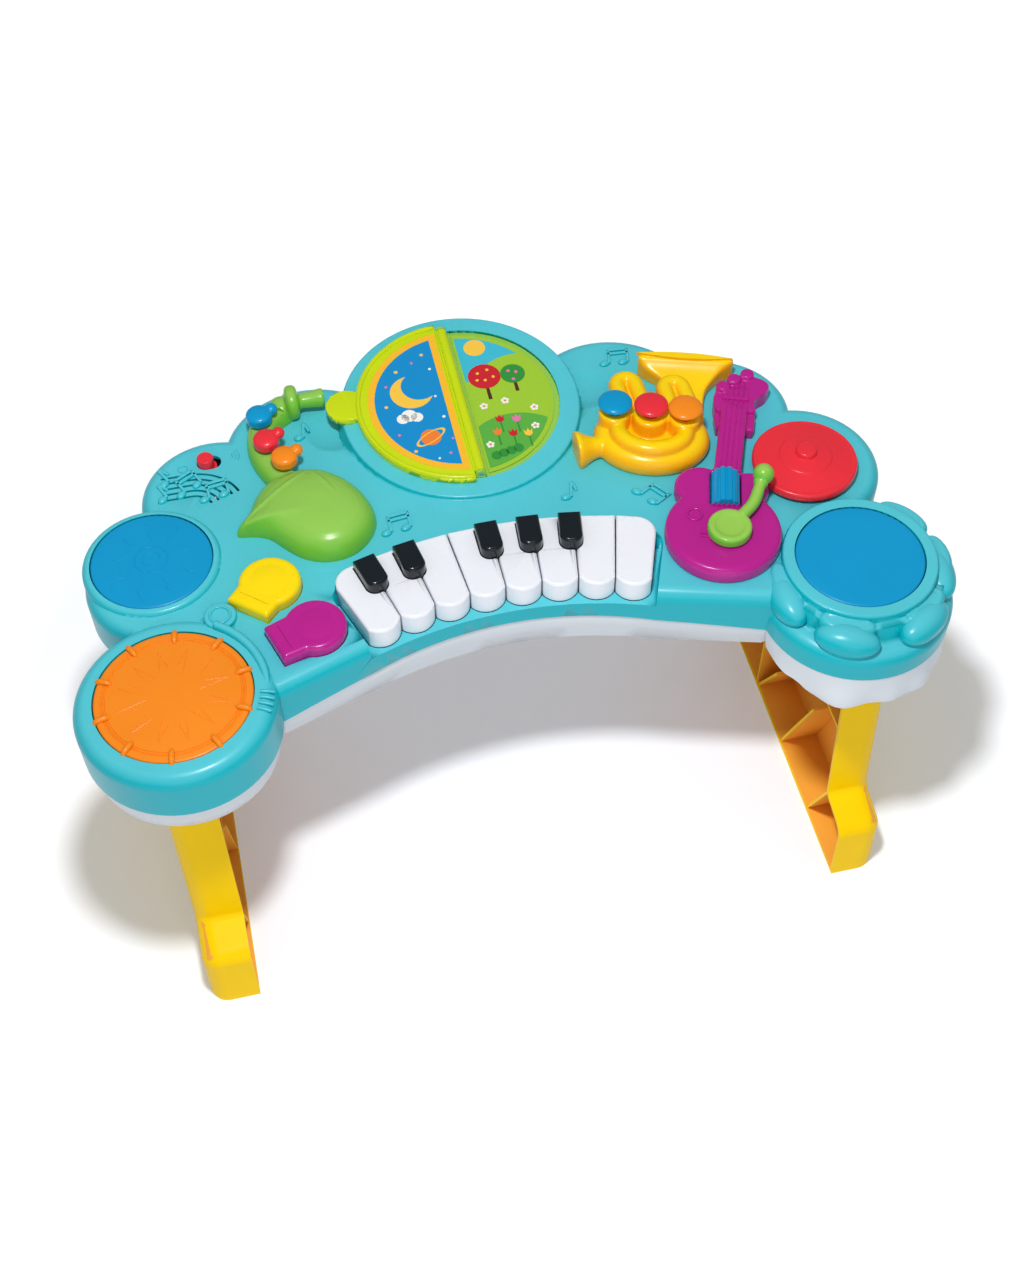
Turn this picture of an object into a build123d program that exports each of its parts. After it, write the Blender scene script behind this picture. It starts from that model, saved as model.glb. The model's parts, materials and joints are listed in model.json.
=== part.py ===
from build123d import *
from math import asin, atan2, cos, degrees, hypot, radians, sin, tan
import os

# Musical activity table for a toddler: a crescent-shaped music deck on two folding legs.
# Millimetres. +Z up, +X to the child's right, +Y away from the child.
# The origin is on the floor, under the centre of the whole table.

# ---------------------------------------------------------------- driving dimensions
DECK_Z = 240.0            # deck surface above the floor
DRUM_TOP_Z = 243.0        # raised drum housings
PARTING_Z = 209.0         # joint between the top shell and the base
BASE_Z = 191.0            # underside of the base
WALL = 2.6                # wall of the shell, the base and the legs
DECK_EDGE_R = 9.0         # rounding along the deck's upper edge
BASE_DRAW = 3.0           # how far the base's side draws in towards the floor
ROOM_DRAW = 2.4           # the same on its inner side
BASE_SLOPE_H = 15.0       # height of its sloping side
BASE_STEP = 0.8           # base set back from the shell
SEAM_GAP = 0.3            # play between pieces that move past each other
SLIDE_GAP = 0.5           # play round a button in its hole
FLANGE = 1.5              # retaining rim under each button
FLANGE_T = 2.0            # thickness of that rim
PIN_PLAY = 0.05           # radial play of a pin in its hole

# lobes of the crescent outline: x, y, radius (mirrored left and right)
TIP = (214.0, -100.5, 61.0)
SIDE = (208.5, -1.5, 52.5)
SHOULDER = (170.0, 59.5, 50.0)
BACK = (103.0, 85.5, 59.5)
BAY_CORNER = (153.0, -108.5)

# keyboard: keys fan out from one centre in front of the table
FAN = (-4.6, -325.5)
KEY_PITCH = 5.0           # degrees
KEY_COUNT = 8
KEY_FRONT_R = 256.0
KEY_BACK_R = 313.0
KEY_TOP_Z = 245.0
KEY_BOTTOM_Z = 229.3
KEY_GAP = 0.7             # between neighbours
KEY_SKIN = 2.2
KEY_NOSE = 6.5            # how far the rounded front bulges
KEY_CORNER_R = 13.0       # outer back corners of the first and last key
KEY_PIVOT_R = 322.0
KEY_PIVOT_Z = 233.6
KEY_PIN_R = 1.5
TONGUE_W = 17.0
TONGUE_T = 5.6
KEY_DIP = 3.0             # degrees a key goes down
SHELF_R = 253.0           # front edge of the shelf before the keys
SHELF_Z = 229.0
SHELF_SPAN = 20.9         # half angle of the keyboard opening
SHELF_BACK_R = 300.0      # the lowered strip before the keys ends under them
CHEEK = 0.7               # degrees of solid cheek beside the keys
BLACK_TOP_Z = 254.0
BLACK_FRONT_R = 284.5
BLACK_L = 24.5
BLACK_BACK_R = BLACK_FRONT_R + BLACK_L
BLACK_W = 14.6
BLACK_CORNER_R = 6.2
BLACK_LEAN = 0.55         # degrees that a black key sits left of its boundary
BLACK_AT = (1, 2, 4, 5, 6)      # key boundaries that carry a black key
ARCH_RISE = 8.5           # how far the parting line lifts in front of the keys

# drums and the cymbal: x, y, radius of the part that is struck
ORANGE_DRUM = (-214.4, -99.5, 47.5)
LEFT_BLUE_DRUM = (-217.0, 8.0, 38.4)
RIGHT_BLUE_DRUM = (216.2, -92.3, 40.6)
CYMBAL = (209.0, -6.5, 34.5)
PAD_PROUD = 1.4           # dome of a drum skin above its housing
PAD_T = 2.4
PAD_EDGE_R = 0.8
PAD_TRAVEL = 2.5
LEFT_HOUSING_R = 44.0
HOUSING_EDGE_R = 4.5      # rounding of the left blue drum's housing
INNER_EDGE_R = 1.5        # rounding inside the round housings
TAMBOURINE_RIM_R = 49.0
TAMBOURINE_RIM_Z = 246.0
RIM_EDGE_R = 2.0
TAMBOURINE_WALL_R = 54.0  # drum that stands over the lower roll of the right tip
TIER_Z = 229.0            # top of that roll
TIER_EDGE_R = 8.5
TIER_END = 40.0           # direction in which the roll runs out, degrees
TIER_START = (120.0, -98.9)     # the roll's other end lies on the line between these two
TIER_LINE = (172.0, -114.0)
JINGLE_L = 18.0           # lens-shaped bulges on the drum's wall: half length and half width
JINGLE_W = 9.0
JINGLE_OUT = 50.0         # their distance from the drum's centre
JINGLE_TOP_Z = 242.0
JINGLE_EDGE_R = 4.0
JINGLES = (-173.0, -118.0, -57.0, -8.0, 36.0)
CYMBAL_UNDER_Z = 243.3
CYMBAL_TOP_Z = 251.0
CYMBAL_RIM_T = 4.6
CYMBAL_NECK_R = 30.0
CYMBAL_KNOB_R = 6.5
CYMBAL_KNOB_H = 3.0
PLUNGER_R = 3.0

# castanet buttons: round part's centre and radius, two tail corners
YELLOW_CASTANET = ((-147.0, -28.4), 19.6, (-174.5, -36.5), (-152.3, -56.0))
PURPLE_CASTANET = ((-125.0, -68.6), 19.6, (-155.7, -63.5), (-146.9, -90.9))
CASTANET_TOP_Z = 248.0
CASTANET_TRAVEL = 2.5
CASTANET_WAIST = 0.78     # half width of the tail's root, share of the round part's radius
CASTANET_WAIST_AT = 0.45  # where that root is, share of the radius
CASTANET_EDGE_R = 3.5
CASTANET_TOP_T = 3.0
HUB = (-180.2, -46.1, 10.2)
HUB_H = 4.0

# saxophone
SAX_KEYS = {"orange": (-123.2, 64.0), "red": (-132.6, 82.0), "blue": (-134.2, 105.0)}
SAX_KEY_TOP_Z = 262.0
SAX_KEY_T = 9.0
SAX_KEY_R = 9.0
SAX_TIP = 13.5            # reach of a touch key's pointed end
SAX_KEY_TURN = 20.0       # direction of that end, degrees from +X
SAX_TIP_R = 3.0
SAX_KEY_EDGE_R = 2.5
SAX_STEM_R = 3.0
SAX_TRAVEL = 2.5
SAX_BELL = (-108.0, 22.0)
SAX_BELL_TOP_Z = 256.4
SAX_BELL_OUTLINE = (
    (-162.8, 11.6),
    (-146.9, 46.1),
    (-125.2, 62.9),
    (-100.5, 61.9),
    (-76.8, 28.4),
    (-76.8, -3.2),
    (-102.5, -20.0),
    (-137.1, 2.2),
)
SAX_BELL_SECTIONS = (     # share of the outline, height
    (1.0, DECK_Z),
    (1.0, 243.0),
    (0.9, 250.0),
    (0.62, 254.8),
    (0.25, SAX_BELL_TOP_Z),
)
SAX_NECK = ((-124.0, 55.0), (-137.0, 86.0), (-119.0, 118.3))
SAX_NECK_R = 10.0
SAX_NECK_Z = 241.8
SAX_BEAK = (-89.0, 119.6)
SAX_BEAK_R = 6.6
SAX_BEAK_Z = 250.0
SAX_RING = (-110.8, 119.6)
SAX_RING_R = 12.0
SAX_RING_T = 9.0

# trumpet
VALVES = {"blue": (94.9, 50.5), "red": (117.3, 42.9), "orange": (138.4, 35.2)}
VALVE_TOP_Z = 273.0
VALVE_CAP_R = 11.2
VALVE_CAP_T = 6.0
VALVE_LIP = 1.5
VALVE_STEM_R = 5.0
VALVE_TRAVEL = 4.0
CASING_R = 11.0
CASING_TOP_Z = 262.5
TRUMPET_LOOP = (116.6, 35.5)
LOOP_SIDE = 30.0          # reach of the loop's centre line to the sides
LOOP_FRONT = 21.5         # and to the front
LOOP_TUBE_R = 9.0
LOOP_Z = 246.0
LOOP_FILL = 4.0           # the loop's filled middle above its axis
SLIDE_SIDE = 23.5         # the smaller tube round the front of the valves
SLIDE_FRONT = 15.0
SLIDE_TUBE_R = 6.5
SLIDE_Z = 253.0
TRUMPET_ANGLE = -18.7
ARCHES = ((111.0, 50.0, 81.3), (141.3, 44.0, 70.6))   # x, start y, y of the bend's centre
ARCH_R = 8.5
ARCH_TUBE_R = 5.5
ARCH_Z = 253.0
BELL_RIM = (156.5, 95.9)
BELL_HALF = 33.0
BELL_NECK = (146.0, 34.0)
BELL_NECK_R = 8.0
BELL_THROAT = (150.5, 66.0)
BELL_H = 16.0
BELL_BOW = 6.0            # how far the bell's rim bows out
MOUTH_FROM = (64.5, 36.0)
MOUTH_WAIST = (76.0, 36.0)
MOUTH_TO = (90.0, 36.0)
MOUTH_R = 13.0
MOUTH_TUBE_R = 7.5

# guitar
LOWER_BOUT = (138.2, -54.5, 37.0)
UPPER_LEFT_BOUT = (134.5, -15.5, 16.5)
UPPER_RIGHT_BOUT = (165.5, -24.0, 12.5)
NECK_FROM = (152.0, -16.0)
NECK_TO = (179.5, 52.0)
NECK_W = 17.5
NECK_TOP_Z = 254.0
GUITAR_TOP_Z = 252.0
GUITAR_EDGE_R = 4.0
GUITAR_WAIST = 27.0       # half width of the waist's straight sides
HEADSTOCK = (
    (168.5, 55.0),
    (171.5, 73.0),
    (186.0, 81.0),
    (198.0, 77.0),
    (210.0, 66.0),
    (203.0, 54.0),
    (189.5, 49.0),
)
ROLLER = (149.1, -23.7)
ROLLER_R = 9.4
ROLLER_L = 28.0
ROLLER_Z = 248.5
ROLLER_TURN = 73.0        # direction of the roller's axis, degrees from +X
ROLLER_FLUTES = 12
FLUTE_R = 1.1
ROLLER_AXLE_R = 2.0
ROLLER_AXLE_SEAT = 5.0    # how far the axle runs into the guitar at each end
LEVER_HUB = (139.9, -60.0)
LEVER_HUB_R = 14.0
LEVER_Z = 253.0
LEVER_T = 7.0
LEVER_BALL = (172.6, -25.8, 6.8)
LEVER_BALL_Z = 262.0
LEVER_BEND = (160.5, -43.5)
LEVER_EDGE_R = 1.5
LEVER_ARM_W = 8.0
LEVER_ARM_Z = (255.0, 260.0)
LEVER_POST_R = 4.0
LEVER_POST_Z = 236.4      # lower end of the post
LEVER_SCREW_HEAD_R = 6.0
LEVER_SCREW_HEAD_T = 2.0

# song book
BOOK = (0.0, 95.5)
BOOK_FOOT_R = 84.0
BOOK_RIM_R = 78.0
BOOK_BORE_R = 67.3
BOOK_TILT = 3.3           # degrees, back edge higher
BOOK_MID_Z = 248.0        # rim plane over the disc's centre
STAND_Z = 231.0           # where the stand starts to draw in
STAND_TOP_Z = 260.0       # where its cone would end
STAND_EDGE_R = 2.0
BED_T = 3.0
BED_DROP = 2.0            # bed under the rim
BED_LIP = 2.5             # how far the bed reaches under the rim
EAR_T = 2.2               # bearing ears of the page's pin
EAR_AT = 64.5
PAGE_R = 70.5
PAGE_T = 4.0
SPINE_R = 3.6
PAGE_TAB = (76.0, 10.0, 13.5)   # tab centre from the spine, along the spine, radius
PICTURE_T = 0.4
PICTURE_R = 62.0
PICTURE_RIM = 4.0         # bed left bare round its pictures
PICTURE_FROM = 6.0        # straight edge of a picture from the spine
PAGE_PIN_R = 1.5
DENT = (88.0, 97.5, 20.0)
DENT_DEPTH = 5.0

# switch and loudspeaker
SWITCH = (-174.0, 86.7)
SWITCH_R = 5.6
SWITCH_TRAVEL = 4.0
SWITCH_TOP_Z = 245.5
SLIDE_SWITCH_Z = 229.0
GRILLE = (-186.7, 45.9)
GRILLE_RADII = (13.4, 18.3, 23.2, 28.0, 32.8)
GRILLE_SLOT = 1.7
GRILLE_RUN = 18.0
GRILLE_END = 20.0         # degrees at which the slots stop
SPEAKER = (-190.0, 64.0)
SPEAKER_R = 18.5
SPEAKER_RIM_T = 3.0
SPEAKER_H = 13.0
MAGNET_R = 11.0
SPEAKER_RING_R = 20.3

# legs
LEG_IN_X = 204.0
LEG_OUT_X = 236.0
LEG_FRONT_Y = -179.5
LEG_BACK_Y = 62.5
LEG_TOP_BACK_Y = 38.0
LEG_TOP_FRONT_Y = -132.5
LEG_KNEE = (-148.0, 57.5)
LEG_KNEE_R = 5.0
LEG_TOE = (-176.8, 51.0)
LEG_TOE_R = 11.0
LEG_EDGE_Y = -120.0       # edges before this belong to the leg's front
LEG_CORNER_R = 12.0       # rounding between a leg's front and its outer side
LEG_PIN_X = 199.0
LEG_PIN_Z = 195.5
LEG_PIN_R = 2.5
LUG_R = 6.0
LUG_W = 18.0
LUG_Y = (-112.0, 20.0)
LUG_EAR = 4.0             # wall of the ears either side of a lug
LEG_SKIN = 4.0            # outer plate of a leg
LEG_GAP = 0.3             # under the base
PIN_SEAT = 3.0            # how far a hinge pin runs into the base at each end
LUG_REACH = 9.2           # outer side of a lug's web, from the pin
POCKET_IN = 13.0          # base pocket of a lug, from the pin towards the middle
POCKET_OUT = 9.7          # and outwards
RIB_T = 2.0
RIBS = ((-124.5, 3.0, -147.5, 60.0), (-64.5, 3.0, -100.0, 92.0), (-11.5, 3.0, -36.5, 50.0))
SHELF_RIB_Z = 122.0       # level rib across the leg
LEG_RIB_RUN = 45.0        # upright rib before the leg's back edge

# case screws (mirrored left and right) and batteries
SCREWS = (
    (161.0, -89.0),
    (234.6, -149.0),
    (187.0, -42.0),
    (152.0, 93.0),
    (80.0, 135.0),
    (70.0, 12.0),
)
BOSS_R = 4.0
SCREW_R = 1.4
SCREW_HEAD_R = 2.6
SCREW_HEAD_T = 2.0
SCREW_SINK = 9.0          # depth of the screw head in the base
SCREW_L = 18.0
SCREW_TIP_Z = BASE_Z + SCREW_SINK + SCREW_L
AA_R = 7.25
AA_L = 50.5
AA_GAP = 1.0
AA_TIP = 1.0
BATTERY = (0.0, 95.0)
BATTERY_COUNT = 3
ROOM_X = 28.0             # half length and half width of the battery room
ROOM_Y = 24.0
ROOM_H = 15.1
DOOR_LEDGE = 2.0
DOOR_TAB = (0.0, 124.0, 5.0)          # rounded tab of the door round its screw
DOOR_BOSS_TOP_Z = 205.0
DOOR_SCREW_L = 8.0
DOOR_SINK = 1.4           # depth of the screw's seat in the door
DOOR_HEAD_T = 1.2
CONTACT_T = 0.6
CONTACT_R = 3.0

BASE_FLOOR_Z = BASE_Z + WALL
DECK_UNDER_Z = DECK_Z - WALL
FLANGE_TOP_Z = DECK_UNDER_Z - SEAM_GAP
BOARD_Z = 222.0           # small boards under pads and buttons
BOARD_T = 1.6
BOARD_R = 7.0
TACT_W = 6.0
TACT_H = 2.6
TACT_TIP_R = 2.0
TACT_TIP_H = 0.8
PILLAR_R = 4.0
DOOR_SEAT_Z = BASE_Z + DOOR_SINK
LEG_TOP_Z = BASE_Z - LEG_GAP
POCKET_TOP_Z = LEG_PIN_Z + LUG_REACH + SLIDE_GAP
TACT_TOP_Z = BOARD_Z + BOARD_T + TACT_H + TACT_TIP_H
KEY_BOARD_Z = 214.0
KEY_BOARD = (262.0, 312.0)
DOME_AT = 270.0
DOME_R = 3.5
DOME_H = 4.0
MAIN_BOARD = (96.0, 60.0)
BOARD_PARTS = (           # place on the board, width and height of what it carries
    (-20.0, 0.0, 14.0, 1.8),
    (15.0, 10.0, 9.0, 1.5),
    (30.0, -15.0, 7.0, 6.0),
    (-35.0, 18.0, 5.0, 4.0),
)
RAIL = (317.0, 327.0)
RAIL_Z = 222.0
TONGUE_PLAY = 0.5
RAIL_SLOT_Z = 229.0       # floor of the slots for the keys' tongues
RAIL_PIN_SEAT = 3.0
BLACK_EDGE_R = 2.5
BLACK_POST = (BLACK_FRONT_R + 11.5, BLACK_BACK_R - 4.0, 9.0)      # post under it: radii and width
KEY_EDGE_R = 2.0
KEY_STEM_W = 6.0

os.makedirs("parts", exist_ok=True)


def save(builder, name):
    """Labels a finished piece and writes it under its own name."""
    builder.part.label = name
    export_step(builder.part, f"parts/{name}.step")


def fan_plane(angle, z):
    """Plane at the fan's centre whose local +Y points along a key at this angle."""
    a = radians(angle)
    return Plane(origin=(FAN[0], FAN[1], z), x_dir=(cos(a), -sin(a), 0), z_dir=(0, 0, 1))


def fan_point(radius, angle):
    """Point of the fan in plan; the angle is measured from +Y towards +X."""
    a = radians(angle)
    return (FAN[0] + radius * sin(a), FAN[1] + radius * cos(a))


def key_angle(index):
    """Middle of a white key, counted from 0 at the left."""
    return (index - (KEY_COUNT - 1) / 2) * KEY_PITCH


# ---------------------------------------------------------------- outlines in plan
def crescent(inset=0.0):
    """Outline of the whole body in plan, drawn in by inset."""
    with BuildSketch() as outline:
        with BuildLine():
            left = fan_point(SHELF_R, -SHELF_SPAN)
            middle = fan_point(SHELF_R, 0)
            right = fan_point(SHELF_R, SHELF_SPAN)
            ThreePointArc(left, middle, right)
            Polyline(
                right,
                BAY_CORNER,
                TIP[:2],
                SIDE[:2],
                SHOULDER[:2],
                BACK[:2],
                BOOK,
                (-BACK[0], BACK[1]),
                (-SHOULDER[0], SHOULDER[1]),
                (-SIDE[0], SIDE[1]),
                (-TIP[0], TIP[1]),
                (-BAY_CORNER[0], BAY_CORNER[1]),
                left,
            )
        make_face()
        for x, y, radius in (TIP, SIDE, SHOULDER, BACK):
            for side in (-1, 1):
                seam = 90 - 90 * side
                with Locations(Location((side * x, y, 0), (0, 0, 180 + seam))):
                    Circle(radius)
        with Locations(LEFT_BLUE_DRUM[:2]):
            Circle(LEFT_HOUSING_R)
        with Locations(Location((*BOOK, 0), (0, 0, -90))):
            Circle(BOOK_FOOT_R)
        if inset:
            offset(amount=-inset, kind=Kind.INTERSECTION, mode=Mode.REPLACE)
    return outline.sketch


def slab(inset, low, high, top_r):
    """Block of the body's outline with its upper edge rounded."""
    with BuildPart() as block:
        with BuildSketch(Plane.XY.offset(low)):
            add(crescent(inset))
        extrude(amount=high - low)
        fillet(block.faces().sort_by(Axis.Z)[-1].edges(), top_r)
    return block.part


def puck(x, y, radius, low, high, top_r):
    """Round housing with a rounded upper edge."""
    with BuildPart() as block:
        with BuildSketch(Plane.XY.offset(low)):
            with Locations((x, y)):
                Circle(radius)
        extrude(amount=high - low)
        fillet(block.faces().sort_by(Axis.Z)[-1].edges(), top_r)
    return block.part


def bay_arch():
    """Prism under the arched parting line in front of the keys."""
    with BuildPart() as arch:
        with BuildSketch(Plane.XZ.offset(-fan_point(SHELF_R, 0)[1] - 6)):
            with BuildLine():
                a = (-BAY_CORNER[0], PARTING_Z)
                b = (FAN[0], PARTING_Z + ARCH_RISE)
                c = (BAY_CORNER[0], PARTING_Z)
                ThreePointArc(a, b, c)
                Polyline(c, (c[0], PARTING_Z - 1), (a[0], PARTING_Z - 1), a)
            make_face()
        extrude(amount=60)
    return arch.part


def sector_plan(inner, outer, half_angle):
    """Part of a ring round the fan's centre, in plan."""
    outer_arc = [fan_point(outer, angle) for angle in (-half_angle, 0, half_angle)]
    inner_arc = [fan_point(inner, angle) for angle in (half_angle, 0, -half_angle)]
    with BuildSketch() as plan:
        with BuildLine():
            ThreePointArc(*outer_arc)
            Line(outer_arc[-1], inner_arc[0])
            ThreePointArc(*inner_arc)
            Line(inner_arc[-1], outer_arc[0])
        make_face()
    return plan.sketch


def sector(inner, outer, half_angle, low, high):
    """The same part of a ring between two heights."""
    with BuildPart() as ring:
        with BuildSketch(Plane.XY.offset(low)):
            add(sector_plan(inner, outer, half_angle))
        extrude(amount=high - low)
    return ring.part


def crown(radius, low, top):
    """Three points of a dome's section, from its rim to its top over the axis."""
    rise = top - low
    sphere = (radius**2 + rise**2) / (2 * rise)
    turn = asin(radius / sphere) / 2
    return (radius, low), (sphere * sin(turn), top - sphere * (1 - cos(turn))), (0, top)


def black_plan(grow=0.0):
    """Plan of a black key along the fan's +Y, with a rounded front; a notch for it leaves room for the dip."""
    half = BLACK_W / 2 + grow
    front = BLACK_FRONT_R - grow
    sway = (KEY_TOP_Z - KEY_PIVOT_Z) * sin(radians(KEY_DIP)) if grow else 0
    with BuildSketch() as plan:
        with BuildLine():
            back = BLACK_BACK_R + grow + sway
            Polyline((-half, back), (-half, front), (half, front), (half, back), close=True)
        make_face()
        fillet(plan.vertices().group_by(Axis.Y)[0], BLACK_CORNER_R + grow)
    return plan.sketch


def key_plan(index, grow=0.0):
    """Plan of one white key along the fan's +Y: bulging front, tapering sides."""
    half = radians(KEY_PITCH / 2)
    nose_r = KEY_FRONT_R + KEY_NOSE
    front = nose_r * tan(half) - KEY_GAP / 2 + grow
    back = KEY_BACK_R * tan(half) - KEY_GAP / 2 + grow
    with BuildSketch() as plan:
        with BuildLine():
            ThreePointArc((-front, nose_r), (0, KEY_FRONT_R - grow), (front, nose_r))
            back_r = KEY_BACK_R + grow
            Polyline((front, nose_r), (back, back_r), (-back, back_r), (-front, nose_r))
        make_face()
        corners = plan.vertices().group_by(Axis.Y)[-1].sort_by(Axis.X)
        if index == 0:
            fillet(corners[0], KEY_CORNER_R + grow)
        if index == KEY_COUNT - 1:
            fillet(corners[-1], KEY_CORNER_R + grow)
    return plan.sketch


def notches(index, grow):
    """Plans of the black keys beside one white key, in that key's own plane."""
    beside = ((index, KEY_PITCH / 2), (index + 1, -KEY_PITCH / 2))
    turns = [turn + BLACK_LEAN for boundary, turn in beside if boundary in BLACK_AT]
    return [black_plan(grow).rotate(Axis.Z, turn) for turn in turns]


def castanet_plan(castanet, grow=0.0):
    """Plan of a castanet button: a round part with a squared tail."""
    (x, y), radius, tail_a, tail_b = castanet
    mid = ((tail_a[0] + tail_b[0]) / 2, (tail_a[1] + tail_b[1]) / 2)
    reach = hypot(mid[0] - x, mid[1] - y)
    toward = ((mid[0] - x) / reach, (mid[1] - y) / reach)
    across = (-toward[1], toward[0])
    waist = CASTANET_WAIST * radius
    start = CASTANET_WAIST_AT * radius
    side_a = (x - waist * across[0] + start * toward[0], y - waist * across[1] + start * toward[1])
    side_b = (x + waist * across[0] + start * toward[0], y + waist * across[1] + start * toward[1])
    near_a = min((side_a, side_b), key=lambda p: hypot(p[0] - tail_a[0], p[1] - tail_a[1]))
    near_b = side_b if near_a == side_a else side_a
    with BuildSketch() as plan:
        with Locations((x, y)):
            Circle(radius + grow)
        with BuildSketch(mode=Mode.PRIVATE) as tail:
            with BuildLine():
                Polyline(tail_a, tail_b, near_b, near_a, tail_a)
            make_face()
            if grow:
                offset(amount=grow, kind=Kind.INTERSECTION, mode=Mode.REPLACE)
        add(tail.sketch)
    return plan.sketch


def disc(x, y, radius, low, high):
    """Plain upright cylinder between two heights."""
    with BuildPart() as block:
        with BuildSketch(Plane.XY.offset(low)):
            with Locations((x, y)):
                Circle(radius)
        extrude(amount=high - low)
    return block.part


def box(x0, x1, y0, y1, z0, z1):
    """Plain block between two corners."""
    with BuildPart() as block:
        with BuildSketch(Plane.XY.offset(z0)):
            with Locations(((x0 + x1) / 2, (y0 + y1) / 2)):
                Rectangle(x1 - x0, y1 - y0)
        extrude(amount=z1 - z0)
    return block.part


def tilted(height):
    """Plane parallel to the book's rim, at this height over it."""
    t = radians(BOOK_TILT)
    normal = (0, -sin(t), cos(t))
    origin = (BOOK[0] + normal[0] * height, BOOK[1] + normal[1] * height, BOOK_MID_Z + normal[2] * height)
    return Plane(origin=origin, x_dir=(1, 0, 0), z_dir=normal)


def stand(inset):
    """Cone under the song book, cut off by the tilted rim."""
    with BuildPart() as cone:
        with BuildSketch(Plane.XY.offset(PARTING_Z)):
            with Locations(BOOK):
                Circle(BOOK_FOOT_R - inset)
        extrude(amount=STAND_Z - PARTING_Z)
        with BuildSketch(Plane.XY.offset(STAND_Z)) as foot:
            with Locations(BOOK):
                Circle(BOOK_FOOT_R - inset)
        with BuildSketch(Plane.XY.offset(STAND_TOP_Z)) as head:
            with Locations(BOOK):
                Circle(BOOK_RIM_R - inset)
        loft(sections=[foot.sketch, head.sketch], ruled=True)
        split(bisect_by=tilted(-inset), keep=Keep.BOTTOM)
        if not inset:
            fillet(cone.edges().group_by(Axis.Z)[-1], STAND_EDGE_R)
    return cone.part


def jingles():
    """Lens-shaped bulges about the tambourine drum."""
    with BuildPart() as bulges:
        for angle in JINGLES:
            a = radians(angle)
            x = RIGHT_BLUE_DRUM[0] + JINGLE_OUT * cos(a)
            y = RIGHT_BLUE_DRUM[1] + JINGLE_OUT * sin(a)
            with BuildPart(mode=Mode.PRIVATE) as bulge:
                with BuildSketch(Plane.XY.offset(TIER_Z - WALL)):
                    with Locations(Location((x, y, 0), (0, 0, angle))):
                        Ellipse(JINGLE_W, JINGLE_L)
                extrude(amount=JINGLE_TOP_Z - TIER_Z + WALL)
                fillet(bulge.faces().sort_by(Axis.Z)[-1].edges(), JINGLE_EDGE_R)
            add(bulge.part)
    return bulges.part


def tier_step(inset):
    """What is cut off round the tambourine drum so that the lower roll shows."""
    x, y = RIGHT_BLUE_DRUM[:2]
    end = radians(TIER_END)
    far = 2 * TIP[2]
    with BuildPart() as step:
        with BuildSketch(Plane.XY.offset(TIER_Z - TIER_EDGE_R - WALL)):
            with BuildLine():
                Polyline(
                    TIER_START,
                    TIER_LINE,
                    (x, y),
                    (x + far * cos(end), y + far * sin(end)),
                    (x + far, y - far),
                    (TIER_START[0], y - far),
                    close=True,
                )
            make_face()
            if inset:
                offset(amount=inset, kind=Kind.INTERSECTION, mode=Mode.REPLACE)
        extrude(amount=DECK_Z + 1 - TIER_Z + TIER_EDGE_R + WALL)
        add(puck(*TIP[:2], TIP[2] - inset, PARTING_Z, TIER_Z - inset, TIER_EDGE_R - inset), mode=Mode.SUBTRACT)
        add(disc(x, y, TAMBOURINE_WALL_R - inset, PARTING_Z, DECK_Z + 2), mode=Mode.SUBTRACT)
    return step.part


def dents(grow):
    """Finger hollows beside the book."""
    x, y, radius = DENT
    sphere_r = (radius**2 + DENT_DEPTH**2) / (2 * DENT_DEPTH)
    with BuildPart() as hollows:
        with Locations((x, y, DECK_Z - DENT_DEPTH + sphere_r), (-x, y, DECK_Z - DENT_DEPTH + sphere_r)):
            Sphere(sphere_r + grow)
    return hollows.part


def grille():
    """Loudspeaker slots like the lines of a music staff, ending in a bend."""
    end = radians(GRILLE_END)
    half = GRILLE_SLOT / 2
    x, y = GRILLE
    with BuildPart() as slots:
        for radius in GRILLE_RADII:
            outer = radius + half
            inner = radius - half
            mid = (end + radians(90)) / 2
            with BuildSketch(Plane.XY.offset(DECK_UNDER_Z - 1)):
                with BuildLine():
                    Line((x - GRILLE_RUN, y + outer), (x, y + outer))
                    ThreePointArc(
                        (x, y + outer),
                        (x + outer * cos(mid), y + outer * sin(mid)),
                        (x + outer * cos(end), y + outer * sin(end)),
                    )
                    Line(
                        (x + outer * cos(end), y + outer * sin(end)),
                        (x + inner * cos(end), y + inner * sin(end)),
                    )
                    ThreePointArc(
                        (x + inner * cos(end), y + inner * sin(end)),
                        (x + inner * cos(mid), y + inner * sin(mid)),
                        (x, y + inner),
                    )
                    Line((x, y + inner), (x - GRILLE_RUN, y + inner))
                    Line((x - GRILLE_RUN, y + inner), (x - GRILLE_RUN, y + outer))
                make_face()
            extrude(amount=WALL + 2)
    return slots.part


def key_wells():
    """Opening that the white keys sink into."""
    with BuildPart() as wells:
        for index in range(KEY_COUNT):
            with BuildSketch(fan_plane(key_angle(index), PARTING_Z)):
                add(key_plan(index, SLIDE_GAP))
            extrude(amount=DECK_Z + 1 - PARTING_Z)
            with BuildSketch(fan_plane(key_angle(index), PARTING_Z)):
                with Locations((0, KEY_BACK_R + 1 - KEY_CORNER_R / 2)):
                    Rectangle(TONGUE_W + 2 * SLIDE_GAP, KEY_CORNER_R)
            extrude(amount=KEY_PIVOT_Z + TONGUE_T / 2 + SLIDE_GAP - PARTING_Z)
    return wells.part


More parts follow.
